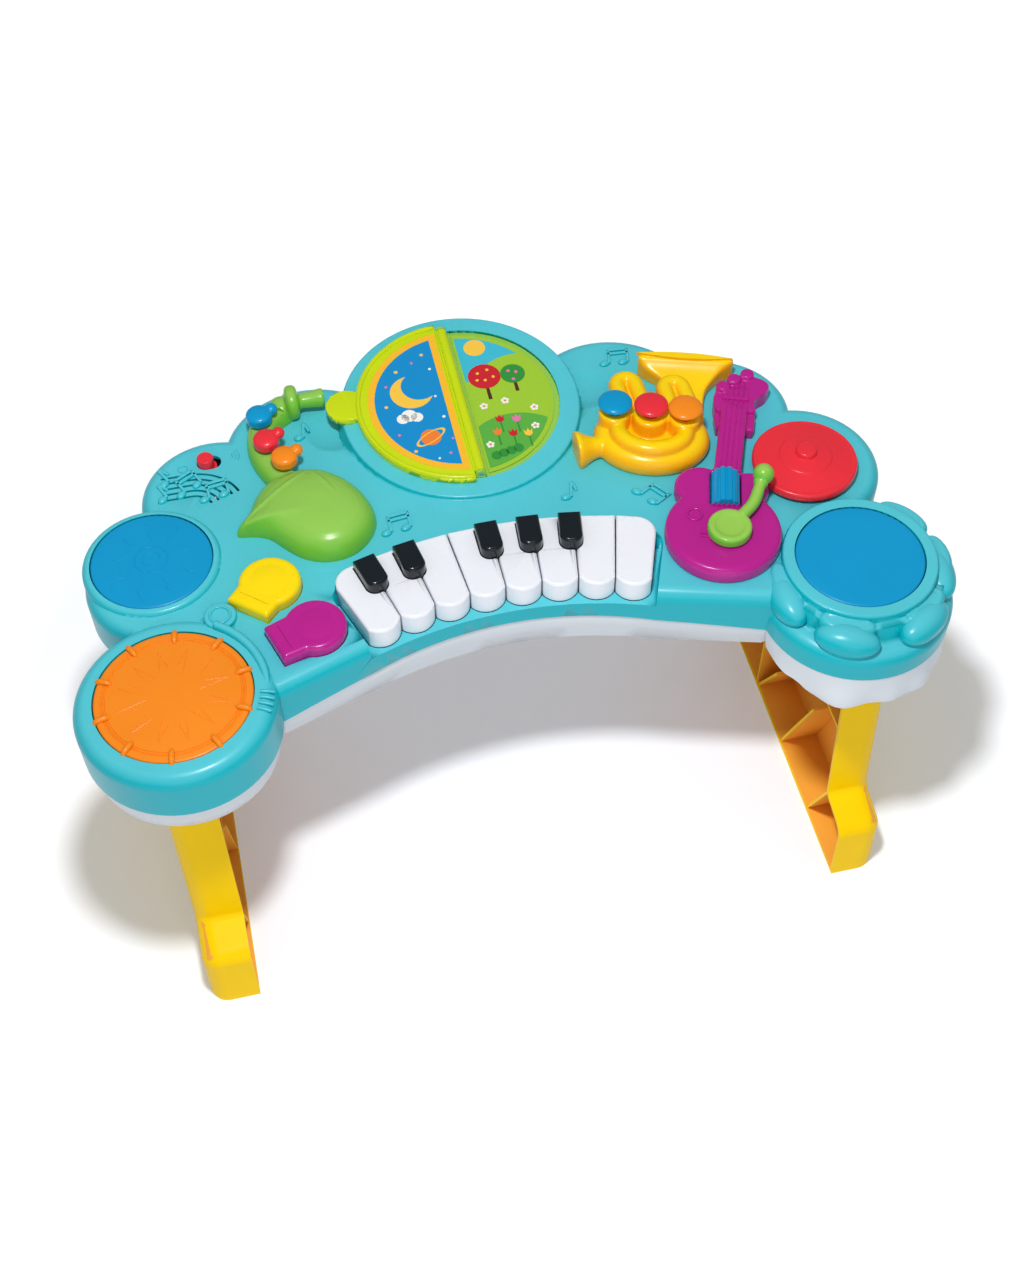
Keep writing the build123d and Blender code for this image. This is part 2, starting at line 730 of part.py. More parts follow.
def deck_holes():
    """Holes in the deck for everything that passes through it."""
    with BuildPart() as holes:
        for x, y, radius in (ORANGE_DRUM, LEFT_BLUE_DRUM, RIGHT_BLUE_DRUM):
            add(disc(x, y, radius + SLIDE_GAP, DECK_UNDER_Z - 1, TAMBOURINE_RIM_Z + 1))
        add(disc(CYMBAL[0], CYMBAL[1], CYMBAL_NECK_R + SLIDE_GAP, DECK_UNDER_Z - 1, DECK_Z + 1))
        for castanet in (YELLOW_CASTANET, PURPLE_CASTANET):
            low = FLANGE_TOP_Z - FLANGE_T - CASTANET_TRAVEL - SLIDE_GAP
            with BuildSketch(Plane.XY.offset(low)):
                add(castanet_plan(castanet, SLIDE_GAP))
            extrude(amount=DECK_Z + 1 - low)
        for x, y in VALVES.values():
            add(disc(x, y, VALVE_STEM_R + SLIDE_GAP, DECK_UNDER_Z - 1, DECK_Z + 1))
        for x, y in SAX_KEYS.values():
            add(disc(x, y, SAX_STEM_R + SLIDE_GAP, DECK_UNDER_Z - 1, DECK_Z + 1))
        add(disc(*LEVER_HUB, LEVER_POST_R + SLIDE_GAP, DECK_UNDER_Z - 1, DECK_Z + 1))
        with BuildSketch(Plane.XY.offset(DECK_UNDER_Z - 1)):
            with Locations((SWITCH[0] + SWITCH_TRAVEL / 2, SWITCH[1])):
                SlotOverall(SWITCH_TRAVEL + 2 * (SWITCH_R + SLIDE_GAP), 2 * (SWITCH_R + SLIDE_GAP))
            with Locations(Location((*ROLLER, 0), (0, 0, ROLLER_TURN))):
                Rectangle(ROLLER_L + 2 * SLIDE_GAP, 2 * (ROLLER_R + SLIDE_GAP))
        extrude(amount=WALL + 2)
    return holes.part


def screw_places():
    """Case screws in plan, left and right."""
    return [(side * x, y) for x, y in SCREWS for side in (-1, 1)]


# ---------------------------------------------------------------- top shell
with BuildPart() as shell_room:
    add(slab(WALL, PARTING_Z, DECK_UNDER_Z, DECK_EDGE_R - WALL))
    add(dents(WALL), mode=Mode.SUBTRACT)
    add(tier_step(WALL), mode=Mode.SUBTRACT)
    add(sector(SHELF_R - 1, KEY_BACK_R, SHELF_SPAN + CHEEK, SHELF_Z - WALL, DECK_Z), mode=Mode.SUBTRACT)
    add(puck(-TIP[0], TIP[1], TIP[2] - WALL, PARTING_Z, DRUM_TOP_Z - WALL, DECK_EDGE_R - WALL))
    add(puck(*LEFT_BLUE_DRUM[:2], LEFT_HOUSING_R - WALL, PARTING_Z, DRUM_TOP_Z - WALL, INNER_EDGE_R))
    rim_room = (TAMBOURINE_RIM_R - WALL, PARTING_Z, TAMBOURINE_RIM_Z - WALL, INNER_EDGE_R)
    add(puck(*RIGHT_BLUE_DRUM[:2], *rim_room))
    add(stand(WALL))
    for place in screw_places():
        add(disc(*place, BOSS_R, PARTING_Z, TAMBOURINE_RIM_Z), mode=Mode.SUBTRACT)

with BuildPart() as top_shell:
    add(slab(0, PARTING_Z, DECK_Z, DECK_EDGE_R))
    add(dents(0), mode=Mode.SUBTRACT)
    add(tier_step(0), mode=Mode.SUBTRACT)
    add(puck(-TIP[0], TIP[1], TIP[2], PARTING_Z, DRUM_TOP_Z, DECK_EDGE_R))
    add(puck(*LEFT_BLUE_DRUM[:2], LEFT_HOUSING_R, PARTING_Z, DRUM_TOP_Z, HOUSING_EDGE_R))
    add(puck(*RIGHT_BLUE_DRUM[:2], TAMBOURINE_RIM_R, DECK_UNDER_Z, TAMBOURINE_RIM_Z, RIM_EDGE_R))
    add(jingles())
    add(stand(0))
    add(puck(*HUB, DECK_UNDER_Z, DECK_Z + HUB_H, INNER_EDGE_R))
    add(shell_room.part, mode=Mode.SUBTRACT)
    add(sector(SHELF_R - 10, SHELF_BACK_R, SHELF_SPAN, SHELF_Z, DECK_Z + 1), mode=Mode.SUBTRACT)
    add(key_wells(), mode=Mode.SUBTRACT)
    add(bay_arch(), mode=Mode.SUBTRACT)
    add(deck_holes(), mode=Mode.SUBTRACT)
    add(grille(), mode=Mode.SUBTRACT)
    for place in screw_places():
        add(disc(*place, SCREW_R + PIN_PLAY, PARTING_Z - 1, SCREW_TIP_Z + 1), mode=Mode.SUBTRACT)
    with BuildSketch(tilted(-2 * WALL)):
        Circle(BOOK_BORE_R)
    extrude(amount=3 * WALL, mode=Mode.SUBTRACT)
save(top_shell, "top_shell")


# ---------------------------------------------------------------- base
def lug_pocket(side, y, grow, top):
    """Room in the base round one leg lug, or the block that closes it over."""
    low_x, high_x = LEG_PIN_X - POCKET_IN - grow, LEG_PIN_X + POCKET_OUT + grow
    half = LUG_W / 2 + SLIDE_GAP + grow * LUG_EAR / WALL
    x0, x1 = (low_x, high_x) if side > 0 else (-high_x, -low_x)
    return box(x0, x1, y - half, y + half, BASE_Z - (0 if grow else 1), top)


def pillar_places():
    """Where the base carries the small boards under pads and buttons."""
    places = [pad[:2] for pad in (ORANGE_DRUM, LEFT_BLUE_DRUM, RIGHT_BLUE_DRUM, CYMBAL)]
    places += [YELLOW_CASTANET[0], PURPLE_CASTANET[0]]
    return places + list(SAX_KEYS.values()) + list(VALVES.values()) + [SWITCH]


def room_box(grow, low, high):
    """Block round the battery room."""
    x, y = BATTERY
    return box(x - ROOM_X - grow, x + ROOM_X + grow, y - ROOM_Y - grow, y + ROOM_Y + grow, low, high)


def tray(inset, low, high, draw, rise):
    """Block of the body's outline whose side slopes in by draw over its lowest stretch."""
    with BuildPart() as block:
        with BuildSketch(Plane.XY.offset(low)):
            add(crescent(inset))
        extrude(amount=high - low)
        under = block.faces().sort_by(Axis.Z)[0]
        chamfer(under.edges(), length=draw, length2=rise, reference=under)
    return block.part


LUGS = [(side, y) for side in (-1, 1) for y in LUG_Y]
ROOM_TOP_Z = BASE_FLOOR_Z + ROOM_H

with BuildPart() as base_lip:
    with BuildSketch(Plane.XY.offset(PARTING_Z - SEAM_GAP)):
        add(crescent(BASE_STEP))
        add(crescent(BASE_STEP + WALL), mode=Mode.SUBTRACT)
    extrude(amount=ARCH_RISE + 1)
    add(bay_arch(), mode=Mode.INTERSECT)

with BuildPart() as bottom_base:
    add(tray(BASE_STEP, BASE_Z, PARTING_Z, BASE_DRAW, BASE_SLOPE_H))
    room = tray(BASE_STEP + WALL, BASE_FLOOR_Z, PARTING_Z + 1, ROOM_DRAW, BASE_SLOPE_H - WALL)
    add(room, mode=Mode.SUBTRACT)
    add(base_lip.part)
    for side, y in LUGS:
        add(lug_pocket(side, y, WALL, POCKET_TOP_Z + WALL))
    add(room_box(DOOR_LEDGE + WALL, BASE_Z, ROOM_TOP_Z + WALL))
    add(disc(*DOOR_TAB[:2], DOOR_TAB[2] + WALL, BASE_Z, DOOR_BOSS_TOP_Z))
    for place in screw_places():
        add(disc(*place, BOSS_R, BASE_FLOOR_Z - 1, PARTING_Z))
    for place in pillar_places():
        add(disc(*place, PILLAR_R, BASE_FLOOR_Z, BOARD_Z))
    for angle in (-KEY_PITCH * 2, KEY_PITCH * 2):
        add(disc(*fan_point(sum(KEY_BOARD) / 2, angle), PILLAR_R, BASE_FLOOR_Z, KEY_BOARD_Z))
        add(disc(*fan_point(KEY_PIVOT_R, angle), PILLAR_R, BASE_FLOOR_Z, RAIL_Z))
    for side, y in LUGS:
        add(lug_pocket(side, y, 0, POCKET_TOP_Z), mode=Mode.SUBTRACT)
    add(room_box(0, BASE_FLOOR_Z - 1, ROOM_TOP_Z), mode=Mode.SUBTRACT)
    add(room_box(DOOR_LEDGE, BASE_Z - 1, BASE_FLOOR_Z), mode=Mode.SUBTRACT)
    add(disc(*DOOR_TAB[:2], DOOR_TAB[2], BASE_Z - 1, BASE_FLOOR_Z), mode=Mode.SUBTRACT)
    add(disc(*DOOR_TAB[:2], SCREW_R + PIN_PLAY, BASE_Z, DOOR_SEAT_Z + DOOR_SCREW_L + 1), mode=Mode.SUBTRACT)
    for place in screw_places():
        add(disc(*place, SCREW_HEAD_R + SEAM_GAP, BASE_Z - 1, BASE_Z + SCREW_SINK), mode=Mode.SUBTRACT)
        add(disc(*place, SCREW_R + PIN_PLAY, BASE_Z, PARTING_Z + 1), mode=Mode.SUBTRACT)
    for side, y in LUGS:
        start = y - LUG_W / 2 - SLIDE_GAP - PIN_SEAT
        with BuildSketch(Plane.XZ.offset(-start)):
            with Locations((side * LEG_PIN_X, LEG_PIN_Z)):
                Circle(LEG_PIN_R + PIN_PLAY)
        extrude(amount=-(LUG_W + 2 * SLIDE_GAP + 2 * PIN_SEAT), mode=Mode.SUBTRACT)
save(bottom_base, "bottom_base")


# ---------------------------------------------------------------- legs and their pins
def leg_side(inset=0.0):
    """Side view of a leg: straight back, front drawn back above a foot with a rounded toe."""
    with BuildSketch(Plane.YZ) as view:
        with BuildLine():
            Polyline(
                (LEG_FRONT_Y, 0),
                (LEG_BACK_Y, 0),
                (LEG_TOP_BACK_Y, LEG_TOP_Z),
                (LEG_TOP_FRONT_Y, LEG_TOP_Z),
                LEG_KNEE,
                LEG_TOE,
                close=True,
            )
        make_face()
        fillet(view.vertices().sort_by_distance(LEG_TOE)[0], LEG_TOE_R)
        fillet(view.vertices().sort_by_distance(LEG_KNEE)[0], LEG_KNEE_R)
        if inset:
            offset(amount=-inset, kind=Kind.INTERSECTION, mode=Mode.REPLACE)
    return view.sketch


def leg_block(x0, x1, inset, corner_r):
    """Block of that side view with a rounded outer front edge."""
    with BuildPart() as block:
        extrude(leg_side(inset).moved(Location((x0, 0, 0))), amount=x1 - x0, dir=(1, 0, 0))
        outer = block.faces().sort_by(Axis.X)[-1].edges()
        fillet([edge for edge in outer if edge.center().Y < LEG_EDGE_Y], corner_r)
    return block.part


def leg():
    """Right leg: open towards the middle, ribbed, with two hinge lugs on top."""
    skin_x = LEG_OUT_X - LEG_SKIN
    with BuildPart() as body:
        add(leg_block(LEG_IN_X, LEG_OUT_X, 0, LEG_CORNER_R))
        add(leg_block(LEG_IN_X - 1, skin_x, WALL, LEG_CORNER_R - WALL), mode=Mode.SUBTRACT)
        with BuildPart(mode=Mode.PRIVATE) as ribs:
            for y0, z0, y1, z1 in RIBS:
                run = hypot(y1 - y0, z1 - z0)
                across = (-(z1 - z0) / run * RIB_T / 2, (y1 - y0) / run * RIB_T / 2)
                with BuildSketch(Plane.YZ.offset(LEG_IN_X + 1)):
                    with BuildLine():
                        Polyline(
                            (y0 + across[0], z0 + across[1]),
                            (y1 + across[0], z1 + across[1]),
                            (y1 - across[0], z1 - across[1]),
                            (y0 - across[0], z0 - across[1]),
                            close=True,
                        )
                    make_face()
                extrude(amount=skin_x - LEG_IN_X)
            with BuildSketch(Plane.YZ.offset(LEG_IN_X + 1)):
                with Locations((LEG_TOP_BACK_Y - LEG_RIB_RUN, LEG_TOP_Z / 2)):
                    Rectangle(RIB_T, LEG_TOP_Z - WALL)
            extrude(amount=skin_x - LEG_IN_X)
            with BuildSketch(Plane.YZ.offset(LEG_IN_X + 1)):
                with Locations((0, SHELF_RIB_Z)):
                    Rectangle(2 * abs(LEG_FRONT_Y), RIB_T)
            extrude(amount=skin_x - LEG_IN_X)
            within = leg_block(LEG_IN_X, LEG_OUT_X, WALL / 2, LEG_CORNER_R - WALL / 2)
            add(within, mode=Mode.INTERSECT)
        add(ribs.part)
        for y in LUG_Y:
            with BuildSketch(Plane.XZ.offset(-(y + LUG_W / 2))):
                with Locations((LEG_PIN_X, LEG_PIN_Z)):
                    Circle(LUG_R)
                with BuildLine():
                    low = LEG_TOP_Z - 2 * WALL
                    Polyline(
                        (LEG_PIN_X, LEG_PIN_Z - LUG_R + 1),
                        (LEG_IN_X, low),
                        (LEG_PIN_X + LUG_REACH, low),
                        (LEG_PIN_X + LUG_REACH - 1, LEG_PIN_Z - 1),
                        (LEG_PIN_X, LEG_PIN_Z + 1),
                        close=True,
                    )
                make_face()
            extrude(amount=LUG_W)
            with BuildSketch(Plane.XZ.offset(-(y + LUG_W))):
                with Locations((LEG_PIN_X, LEG_PIN_Z)):
                    Circle(LEG_PIN_R + PIN_PLAY)
            extrude(amount=2 * LUG_W, mode=Mode.SUBTRACT)
    return body.part


def leg_pins(side):
    """Two hinge pins of one leg."""
    with BuildPart() as pins:
        for y in LUG_Y:
            length = LUG_W + 2 * SLIDE_GAP + 2 * PIN_SEAT - 2 * PIN_PLAY
            with BuildSketch(Plane.XZ.offset(-(y + length / 2))):
                with Locations((side * LEG_PIN_X, LEG_PIN_Z)):
                    Circle(LEG_PIN_R)
            extrude(amount=length)
    return pins.part


right = leg()
with BuildPart() as right_leg:
    add(right)
save(right_leg, "right_leg")
with BuildPart() as left_leg:
    add(right)
    mirror(about=Plane.YZ, mode=Mode.REPLACE)
save(left_leg, "left_leg")
with BuildPart() as right_leg_pins:
    add(leg_pins(1))
save(right_leg_pins, "right_leg_pins")
with BuildPart() as left_leg_pins:
    add(leg_pins(-1))
save(left_leg_pins, "left_leg_pins")


# ---------------------------------------------------------------- keyboard
DOME_TOP_Z = KEY_BOARD_Z + BOARD_T + DOME_H
STEM_END_Z = DOME_TOP_Z + SEAM_GAP + (KEY_PIVOT_R - DOME_AT + KEY_STEM_W / 2) * tan(radians(KEY_DIP))
TONGUE_END_R = KEY_PIVOT_R + TONGUE_T / 2


def tongue(angle, grow, low, high):
    """Tongue behind a key, or the slot in the rail that it hinges in."""
    with BuildPart() as block:
        with BuildSketch(fan_plane(angle, low)):
            with Locations((0, (KEY_BACK_R - KEY_SKIN + TONGUE_END_R + grow) / 2)):
                Rectangle(TONGUE_W + 2 * grow, TONGUE_END_R + grow - KEY_BACK_R + KEY_SKIN)
        extrude(amount=high - low)
    return block.part


def cross_pin(angle, radius, length):
    """Cylinder across the fan at the keys' hinge line."""
    a = radians(angle)
    x, y = fan_point(KEY_PIVOT_R, angle)
    across = (cos(a), -sin(a), 0)
    start = (x - across[0] * length / 2, y - across[1] * length / 2, KEY_PIVOT_Z)
    with BuildPart() as pin:
        with BuildSketch(Plane(origin=start, z_dir=across)):
            Circle(radius)
        extrude(amount=length)
    return pin.part


def white_key(index):
    """One hollow white key with its hinge tongue and the stem over its dome."""
    angle = key_angle(index)
    with BuildPart() as key:
        with BuildSketch(fan_plane(angle, KEY_BOTTOM_Z)):
            add(key_plan(index))
        extrude(amount=KEY_TOP_Z - KEY_BOTTOM_Z)
        fillet(key.faces().sort_by(Axis.Z)[-1].edges(), KEY_EDGE_R)
        with BuildSketch(fan_plane(angle, KEY_BOTTOM_Z - 1)):
            add(key_plan(index, -KEY_SKIN))
            add(notches(index, SLIDE_GAP + KEY_SKIN), mode=Mode.SUBTRACT)
        extrude(amount=KEY_TOP_Z - KEY_SKIN - KEY_BOTTOM_Z + 1, mode=Mode.SUBTRACT)
        if notches(index, SLIDE_GAP):
            with BuildSketch(fan_plane(angle, KEY_BOTTOM_Z - 1)):
                add(notches(index, SLIDE_GAP))
            extrude(amount=KEY_TOP_Z - KEY_BOTTOM_Z + 2, mode=Mode.SUBTRACT)
        with BuildSketch(fan_plane(angle, STEM_END_Z)):
            with Locations((0, DOME_AT)):
                Rectangle(KEY_STEM_W, KEY_STEM_W)
        extrude(amount=KEY_TOP_Z - KEY_SKIN - STEM_END_Z + KEY_SKIN / 2)
        half = TONGUE_T / 2
        add(tongue(angle, 0, KEY_PIVOT_Z - half, KEY_PIVOT_Z + half))
        add(cross_pin(angle, KEY_PIN_R + PIN_PLAY, 2 * TONGUE_W), mode=Mode.SUBTRACT)
    return key.part


for index in range(KEY_COUNT):
    with BuildPart() as key:
        add(white_key(index))
    save(key, f"white_key_{index + 1}")

with BuildPart() as black_keys:
    for boundary in BLACK_AT:
        angle = key_angle(boundary) - KEY_PITCH / 2 - BLACK_LEAN
        with BuildPart(mode=Mode.PRIVATE) as black:
            with BuildSketch(fan_plane(angle, KEY_BOTTOM_Z)):
                add(black_plan())
            extrude(amount=BLACK_TOP_Z - KEY_BOTTOM_Z)
            fillet(black.faces().sort_by(Axis.Z)[-1].edges(), BLACK_EDGE_R)
            low_r, high_r, width = BLACK_POST
            with BuildSketch(fan_plane(angle, KEY_BOARD_Z + BOARD_T)):
                with Locations((0, (low_r + high_r) / 2)):
                    Rectangle(width, high_r - low_r)
            extrude(amount=KEY_BOTTOM_Z + 1 - KEY_BOARD_Z - BOARD_T)
        add(black.part)
save(black_keys, "black_keys")

with BuildPart() as key_pins:
    for index in range(KEY_COUNT):
        add(cross_pin(key_angle(index), KEY_PIN_R, TONGUE_W + 2 * TONGUE_PLAY + 2 * RAIL_PIN_SEAT))
save(key_pins, "key_pins")

with BuildPart() as key_rail:
    add(sector(*RAIL, SHELF_SPAN + CHEEK, RAIL_Z, FLANGE_TOP_Z))
    for index in range(KEY_COUNT):
        slot = tongue(key_angle(index), TONGUE_PLAY, RAIL_SLOT_Z, FLANGE_TOP_Z + 1)
        add(slot, mode=Mode.SUBTRACT)
        length = TONGUE_W + 2 * TONGUE_PLAY + 2 * RAIL_PIN_SEAT + 2 * PIN_PLAY
        add(cross_pin(key_angle(index), KEY_PIN_R + PIN_PLAY, length), mode=Mode.SUBTRACT)
save(key_rail, "key_rail")

with BuildPart() as key_board:
    add(sector(*KEY_BOARD, SHELF_SPAN - 1, KEY_BOARD_Z, KEY_BOARD_Z + BOARD_T))
save(key_board, "key_board")

with BuildPart() as key_domes:
    for index in range(KEY_COUNT):
        with BuildPart(mode=Mode.PRIVATE) as dome:
            add(disc(*fan_point(DOME_AT, key_angle(index)), DOME_R, KEY_BOARD_Z + BOARD_T, DOME_TOP_Z))
            fillet(dome.faces().sort_by(Axis.Z)[-1].edges(), DOME_R / 3)
        add(dome.part)
save(key_domes, "key_domes")


# ---------------------------------------------------------------- drums, cymbal and castanets
def pad(place, top_z, flange_top_z):
    """Drum skin: a shallow hollow cap with a retaining rim and a plunger."""
    x, y, radius = place
    under_z = top_z - PAD_T
    end_z = TACT_TOP_Z + PAD_TRAVEL + SEAM_GAP
    with BuildPart() as cap:
        with BuildSketch(Plane(origin=(x, y, 0), x_dir=(1, 0, 0), z_dir=(0, -1, 0))):
            with BuildLine():
                Line((0, end_z), (PLUNGER_R, end_z))
                Line((PLUNGER_R, end_z), (PLUNGER_R, under_z))
                Line((PLUNGER_R, under_z), (radius - PAD_T, under_z))
                Line((radius - PAD_T, under_z), (radius - PAD_T, flange_top_z - FLANGE_T))
                Line((radius - PAD_T, flange_top_z - FLANGE_T), (radius + FLANGE, flange_top_z - FLANGE_T))
                Line((radius + FLANGE, flange_top_z - FLANGE_T), (radius + FLANGE, flange_top_z))
                Line((radius + FLANGE, flange_top_z), (radius, flange_top_z))
                Line((radius, flange_top_z), (radius, top_z))
                ThreePointArc(*crown(radius, top_z, top_z + PAD_PROUD))
                Line((0, top_z + PAD_PROUD), (0, end_z))
            make_face()
        revolve(axis=Axis((x, y, 0), (0, 0, 1)))
    return cap.part


for name, place, top_z in (
    ("orange_drum_pad", ORANGE_DRUM, DRUM_TOP_Z),
    ("left_blue_drum_pad", LEFT_BLUE_DRUM, DRUM_TOP_Z),
    ("tambourine_pad", RIGHT_BLUE_DRUM, TAMBOURINE_RIM_Z),
):
    with BuildPart() as skin:
        add(pad(place, top_z, top_z - WALL - SEAM_GAP))
        rim = skin.edges().filter_by(GeomType.CIRCLE).filter_by(lambda e, z=top_z: abs(e.center().Z - z) < 0.01)
        fillet(rim, PAD_EDGE_R)
    save(skin, name)

with BuildPart() as cymbal_pad:
    x, y, radius = CYMBAL
    neck = CYMBAL_NECK_R
    end_z = TACT_TOP_Z + PAD_TRAVEL + SEAM_GAP
    under_z = CYMBAL_UNDER_Z + PAD_T
    rim_z = CYMBAL_UNDER_Z + CYMBAL_RIM_T
    with BuildSketch(Plane(origin=(x, y, 0), x_dir=(1, 0, 0), z_dir=(0, -1, 0))):
        with BuildLine():
            Polyline(
                (0, end_z),
                (PLUNGER_R, end_z),
                (PLUNGER_R, under_z),
                (neck - PAD_T, under_z),
                (neck - PAD_T, FLANGE_TOP_Z - FLANGE_T),
                (neck + FLANGE, FLANGE_TOP_Z - FLANGE_T),
                (neck + FLANGE, FLANGE_TOP_Z),
                (neck, FLANGE_TOP_Z),
                (neck, CYMBAL_UNDER_Z),
                (radius, CYMBAL_UNDER_Z),
                (radius, rim_z),
                (CYMBAL_KNOB_R, CYMBAL_TOP_Z),
                (CYMBAL_KNOB_R, CYMBAL_TOP_Z + CYMBAL_KNOB_H),
                (0, CYMBAL_TOP_Z + CYMBAL_KNOB_H),
                (0, end_z),
            )
        make_face()
    revolve(axis=Axis((x, y, 0), (0, 0, 1)))
save(cymbal_pad, "cymbal_pad")

for name, castanet in (("yellow_castanet", YELLOW_CASTANET), ("purple_castanet", PURPLE_CASTANET)):
    with BuildPart() as button:
        with BuildSketch(Plane.XY.offset(FLANGE_TOP_Z - FLANGE_T)):
            add(castanet_plan(castanet))
        extrude(amount=CASTANET_TOP_Z - FLANGE_TOP_Z + FLANGE_T)
        fillet(button.faces().sort_by(Axis.Z)[-1].edges(), CASTANET_EDGE_R)
        with BuildSketch(Plane.XY.offset(FLANGE_TOP_Z - FLANGE_T - 1)):
            add(castanet_plan(castanet, -PAD_T))
        room_h = CASTANET_TOP_Z - CASTANET_TOP_T - FLANGE_TOP_Z + FLANGE_T + 1
        extrude(amount=room_h, mode=Mode.SUBTRACT)
        with BuildSketch(Plane.XY.offset(FLANGE_TOP_Z - FLANGE_T)):
            add(castanet_plan(castanet, FLANGE))
            add(sector_plan(SHELF_R, KEY_BACK_R, SHELF_SPAN + 2 * CHEEK), mode=Mode.SUBTRACT)
            add(castanet_plan(castanet))
            add(castanet_plan(castanet, -PAD_T), mode=Mode.SUBTRACT)
        extrude(amount=FLANGE_T)
        end_z = TACT_TOP_Z + CASTANET_TRAVEL + SEAM_GAP
        add(disc(*castanet[0], PLUNGER_R, end_z, CASTANET_TOP_Z - CASTANET_TOP_T / 2))
    save(button, name)


# ---------------------------------------------------------------- saxophone
def push_key(places, profile_z, stem_r, travel):
    """Stems with their retaining rims under the deck, down to the switches."""
    with BuildPart() as stems:
        for place in places:
            add(disc(*place, stem_r, TACT_TOP_Z + travel + SEAM_GAP, profile_z))
            add(disc(*place, stem_r + FLANGE, FLANGE_TOP_Z - FLANGE_T, FLANGE_TOP_Z))
    return stems.part


def bell_section(scale, z):
    """Outline of the saxophone's bell, drawn in towards its middle."""
    with BuildSketch(Plane.XY.offset(z)) as section:
        with BuildLine():
            x, y = SAX_BELL
            Spline(*[(x + (px - x) * scale, y + (py - y) * scale) for px, py in SAX_BELL_OUTLINE], periodic=True)
        make_face()
    return section.sketch


def touch_plan(x, y, grow=0.0):
    """Plan of a saxophone touch key: round, with a pointed end."""
    turn = radians(SAX_KEY_TURN)
    with BuildSketch() as plan:
        with Locations((x, y)):
            Circle(SAX_KEY_R + grow)
        with Locations((x + SAX_TIP * cos(turn), y + SAX_TIP * sin(turn))):
            Circle(SAX_TIP_R + grow)
        make_hull()
    return plan.sketch


with BuildPart() as sax_body:
    loft(sections=[bell_section(scale, z) for scale, z in SAX_BELL_SECTIONS])
    with BuildLine() as neck_path:
        start, middle, end = SAX_NECK
        ThreePointArc((*start, SAX_NECK_Z), (*middle, SAX_NECK_Z), (*end, SAX_NECK_Z))
    with BuildPart(mode=Mode.PRIVATE) as neck:
        with BuildSketch(neck_path.line ^ 0):
            Circle(SAX_NECK_R)
        sweep(path=neck_path.line)
        with Locations((*end, SAX_NECK_Z)):
            Sphere(SAX_NECK_R)
        for start, radius, length in (
            ((SAX_RING[0] - SAX_RING_T / 2, SAX_RING[1]), SAX_RING_R, SAX_RING_T),
            (end, SAX_BEAK_R, SAX_BEAK[0] - end[0]),
        ):
            with BuildSketch(Plane(origin=(*start, SAX_BEAK_Z), z_dir=(1, 0, 0))):
                Circle(radius)
            extrude(amount=length)
        split(bisect_by=Plane.XY.offset(DECK_Z), keep=Keep.TOP)
    add(neck.part)
    for place in SAX_KEYS.values():
        with BuildSketch(Plane.XY.offset(SAX_KEY_TOP_Z - SAX_KEY_T - SAX_TRAVEL - SEAM_GAP)):
            add(touch_plan(*place, SLIDE_GAP))
        extrude(amount=SAX_KEY_T + SAX_TRAVEL, mode=Mode.SUBTRACT)
        add(disc(*place, SAX_STEM_R + SLIDE_GAP, DECK_Z - 1, SAX_BELL_TOP_Z), mode=Mode.SUBTRACT)
save(sax_body, "sax_body")

for colour, (x, y) in SAX_KEYS.items():
    with BuildPart() as touch:
        with BuildSketch(Plane.XY.offset(SAX_KEY_TOP_Z - SAX_KEY_T)):
            add(touch_plan(x, y))
        extrude(amount=SAX_KEY_T)
        fillet(touch.faces().sort_by(Axis.Z)[-1].edges(), SAX_KEY_EDGE_R)
        add(push_key([(x, y)], SAX_KEY_TOP_Z - SAX_KEY_T / 2, SAX_STEM_R, SAX_TRAVEL))
    save(touch, f"sax_key_{colour}")


# ---------------------------------------------------------------- trumpet
def arch(x, y0, y1):
    """Tuning slide behind the valves: two straight runs and half a turn."""
    with BuildPart() as bow:
        for side in (-1, 1):
            with BuildSketch(Plane.XZ.offset(-y0)):
                with Locations((x + side * ARCH_R, ARCH_Z)):
                    Circle(ARCH_TUBE_R)
            extrude(amount=-(y1 - y0))
        with BuildSketch(Plane.XZ.offset(-y1)):
            with Locations((x + ARCH_R, ARCH_Z)):
                Circle(ARCH_TUBE_R)
        revolve(axis=Axis((x, y1, ARCH_Z), (0, 0, 1)), revolution_arc=180)
    return bow.part


def cone_between(a, b, radius_a, radius_b, z):
    """Round taper lying along the deck."""
    run = (b[0] - a[0], b[1] - a[1], 0)
    with BuildPart() as taper:
        with BuildSketch(Plane(origin=(*a, z), z_dir=run)) as first:
            Circle(radius_a)
        with BuildSketch(Plane(origin=(*b, z), z_dir=run)) as second:
            Circle(radius_b)
        loft(sections=[first.sketch, second.sketch], ruled=True)
    return taper.part


def oval(side, front, z, tube_r):
    """Oval ring of tube lying round the valves."""
    a = radians(TRUMPET_ANGLE)
    plane = Plane(origin=(*TRUMPET_LOOP, z), x_dir=(cos(a), sin(a), 0), z_dir=(0, 0, 1))
    with BuildPart() as ring:
        with BuildLine(plane) as path:
            for start in (0, 180):
                EllipticalCenterArc((0, 0), side, front, start_angle=start, arc_size=180)
        with BuildSketch(Plane(origin=path.line @ 0, z_dir=path.line % 0)):
            Circle(tube_r)
        sweep(path=path.line)
    return ring.part


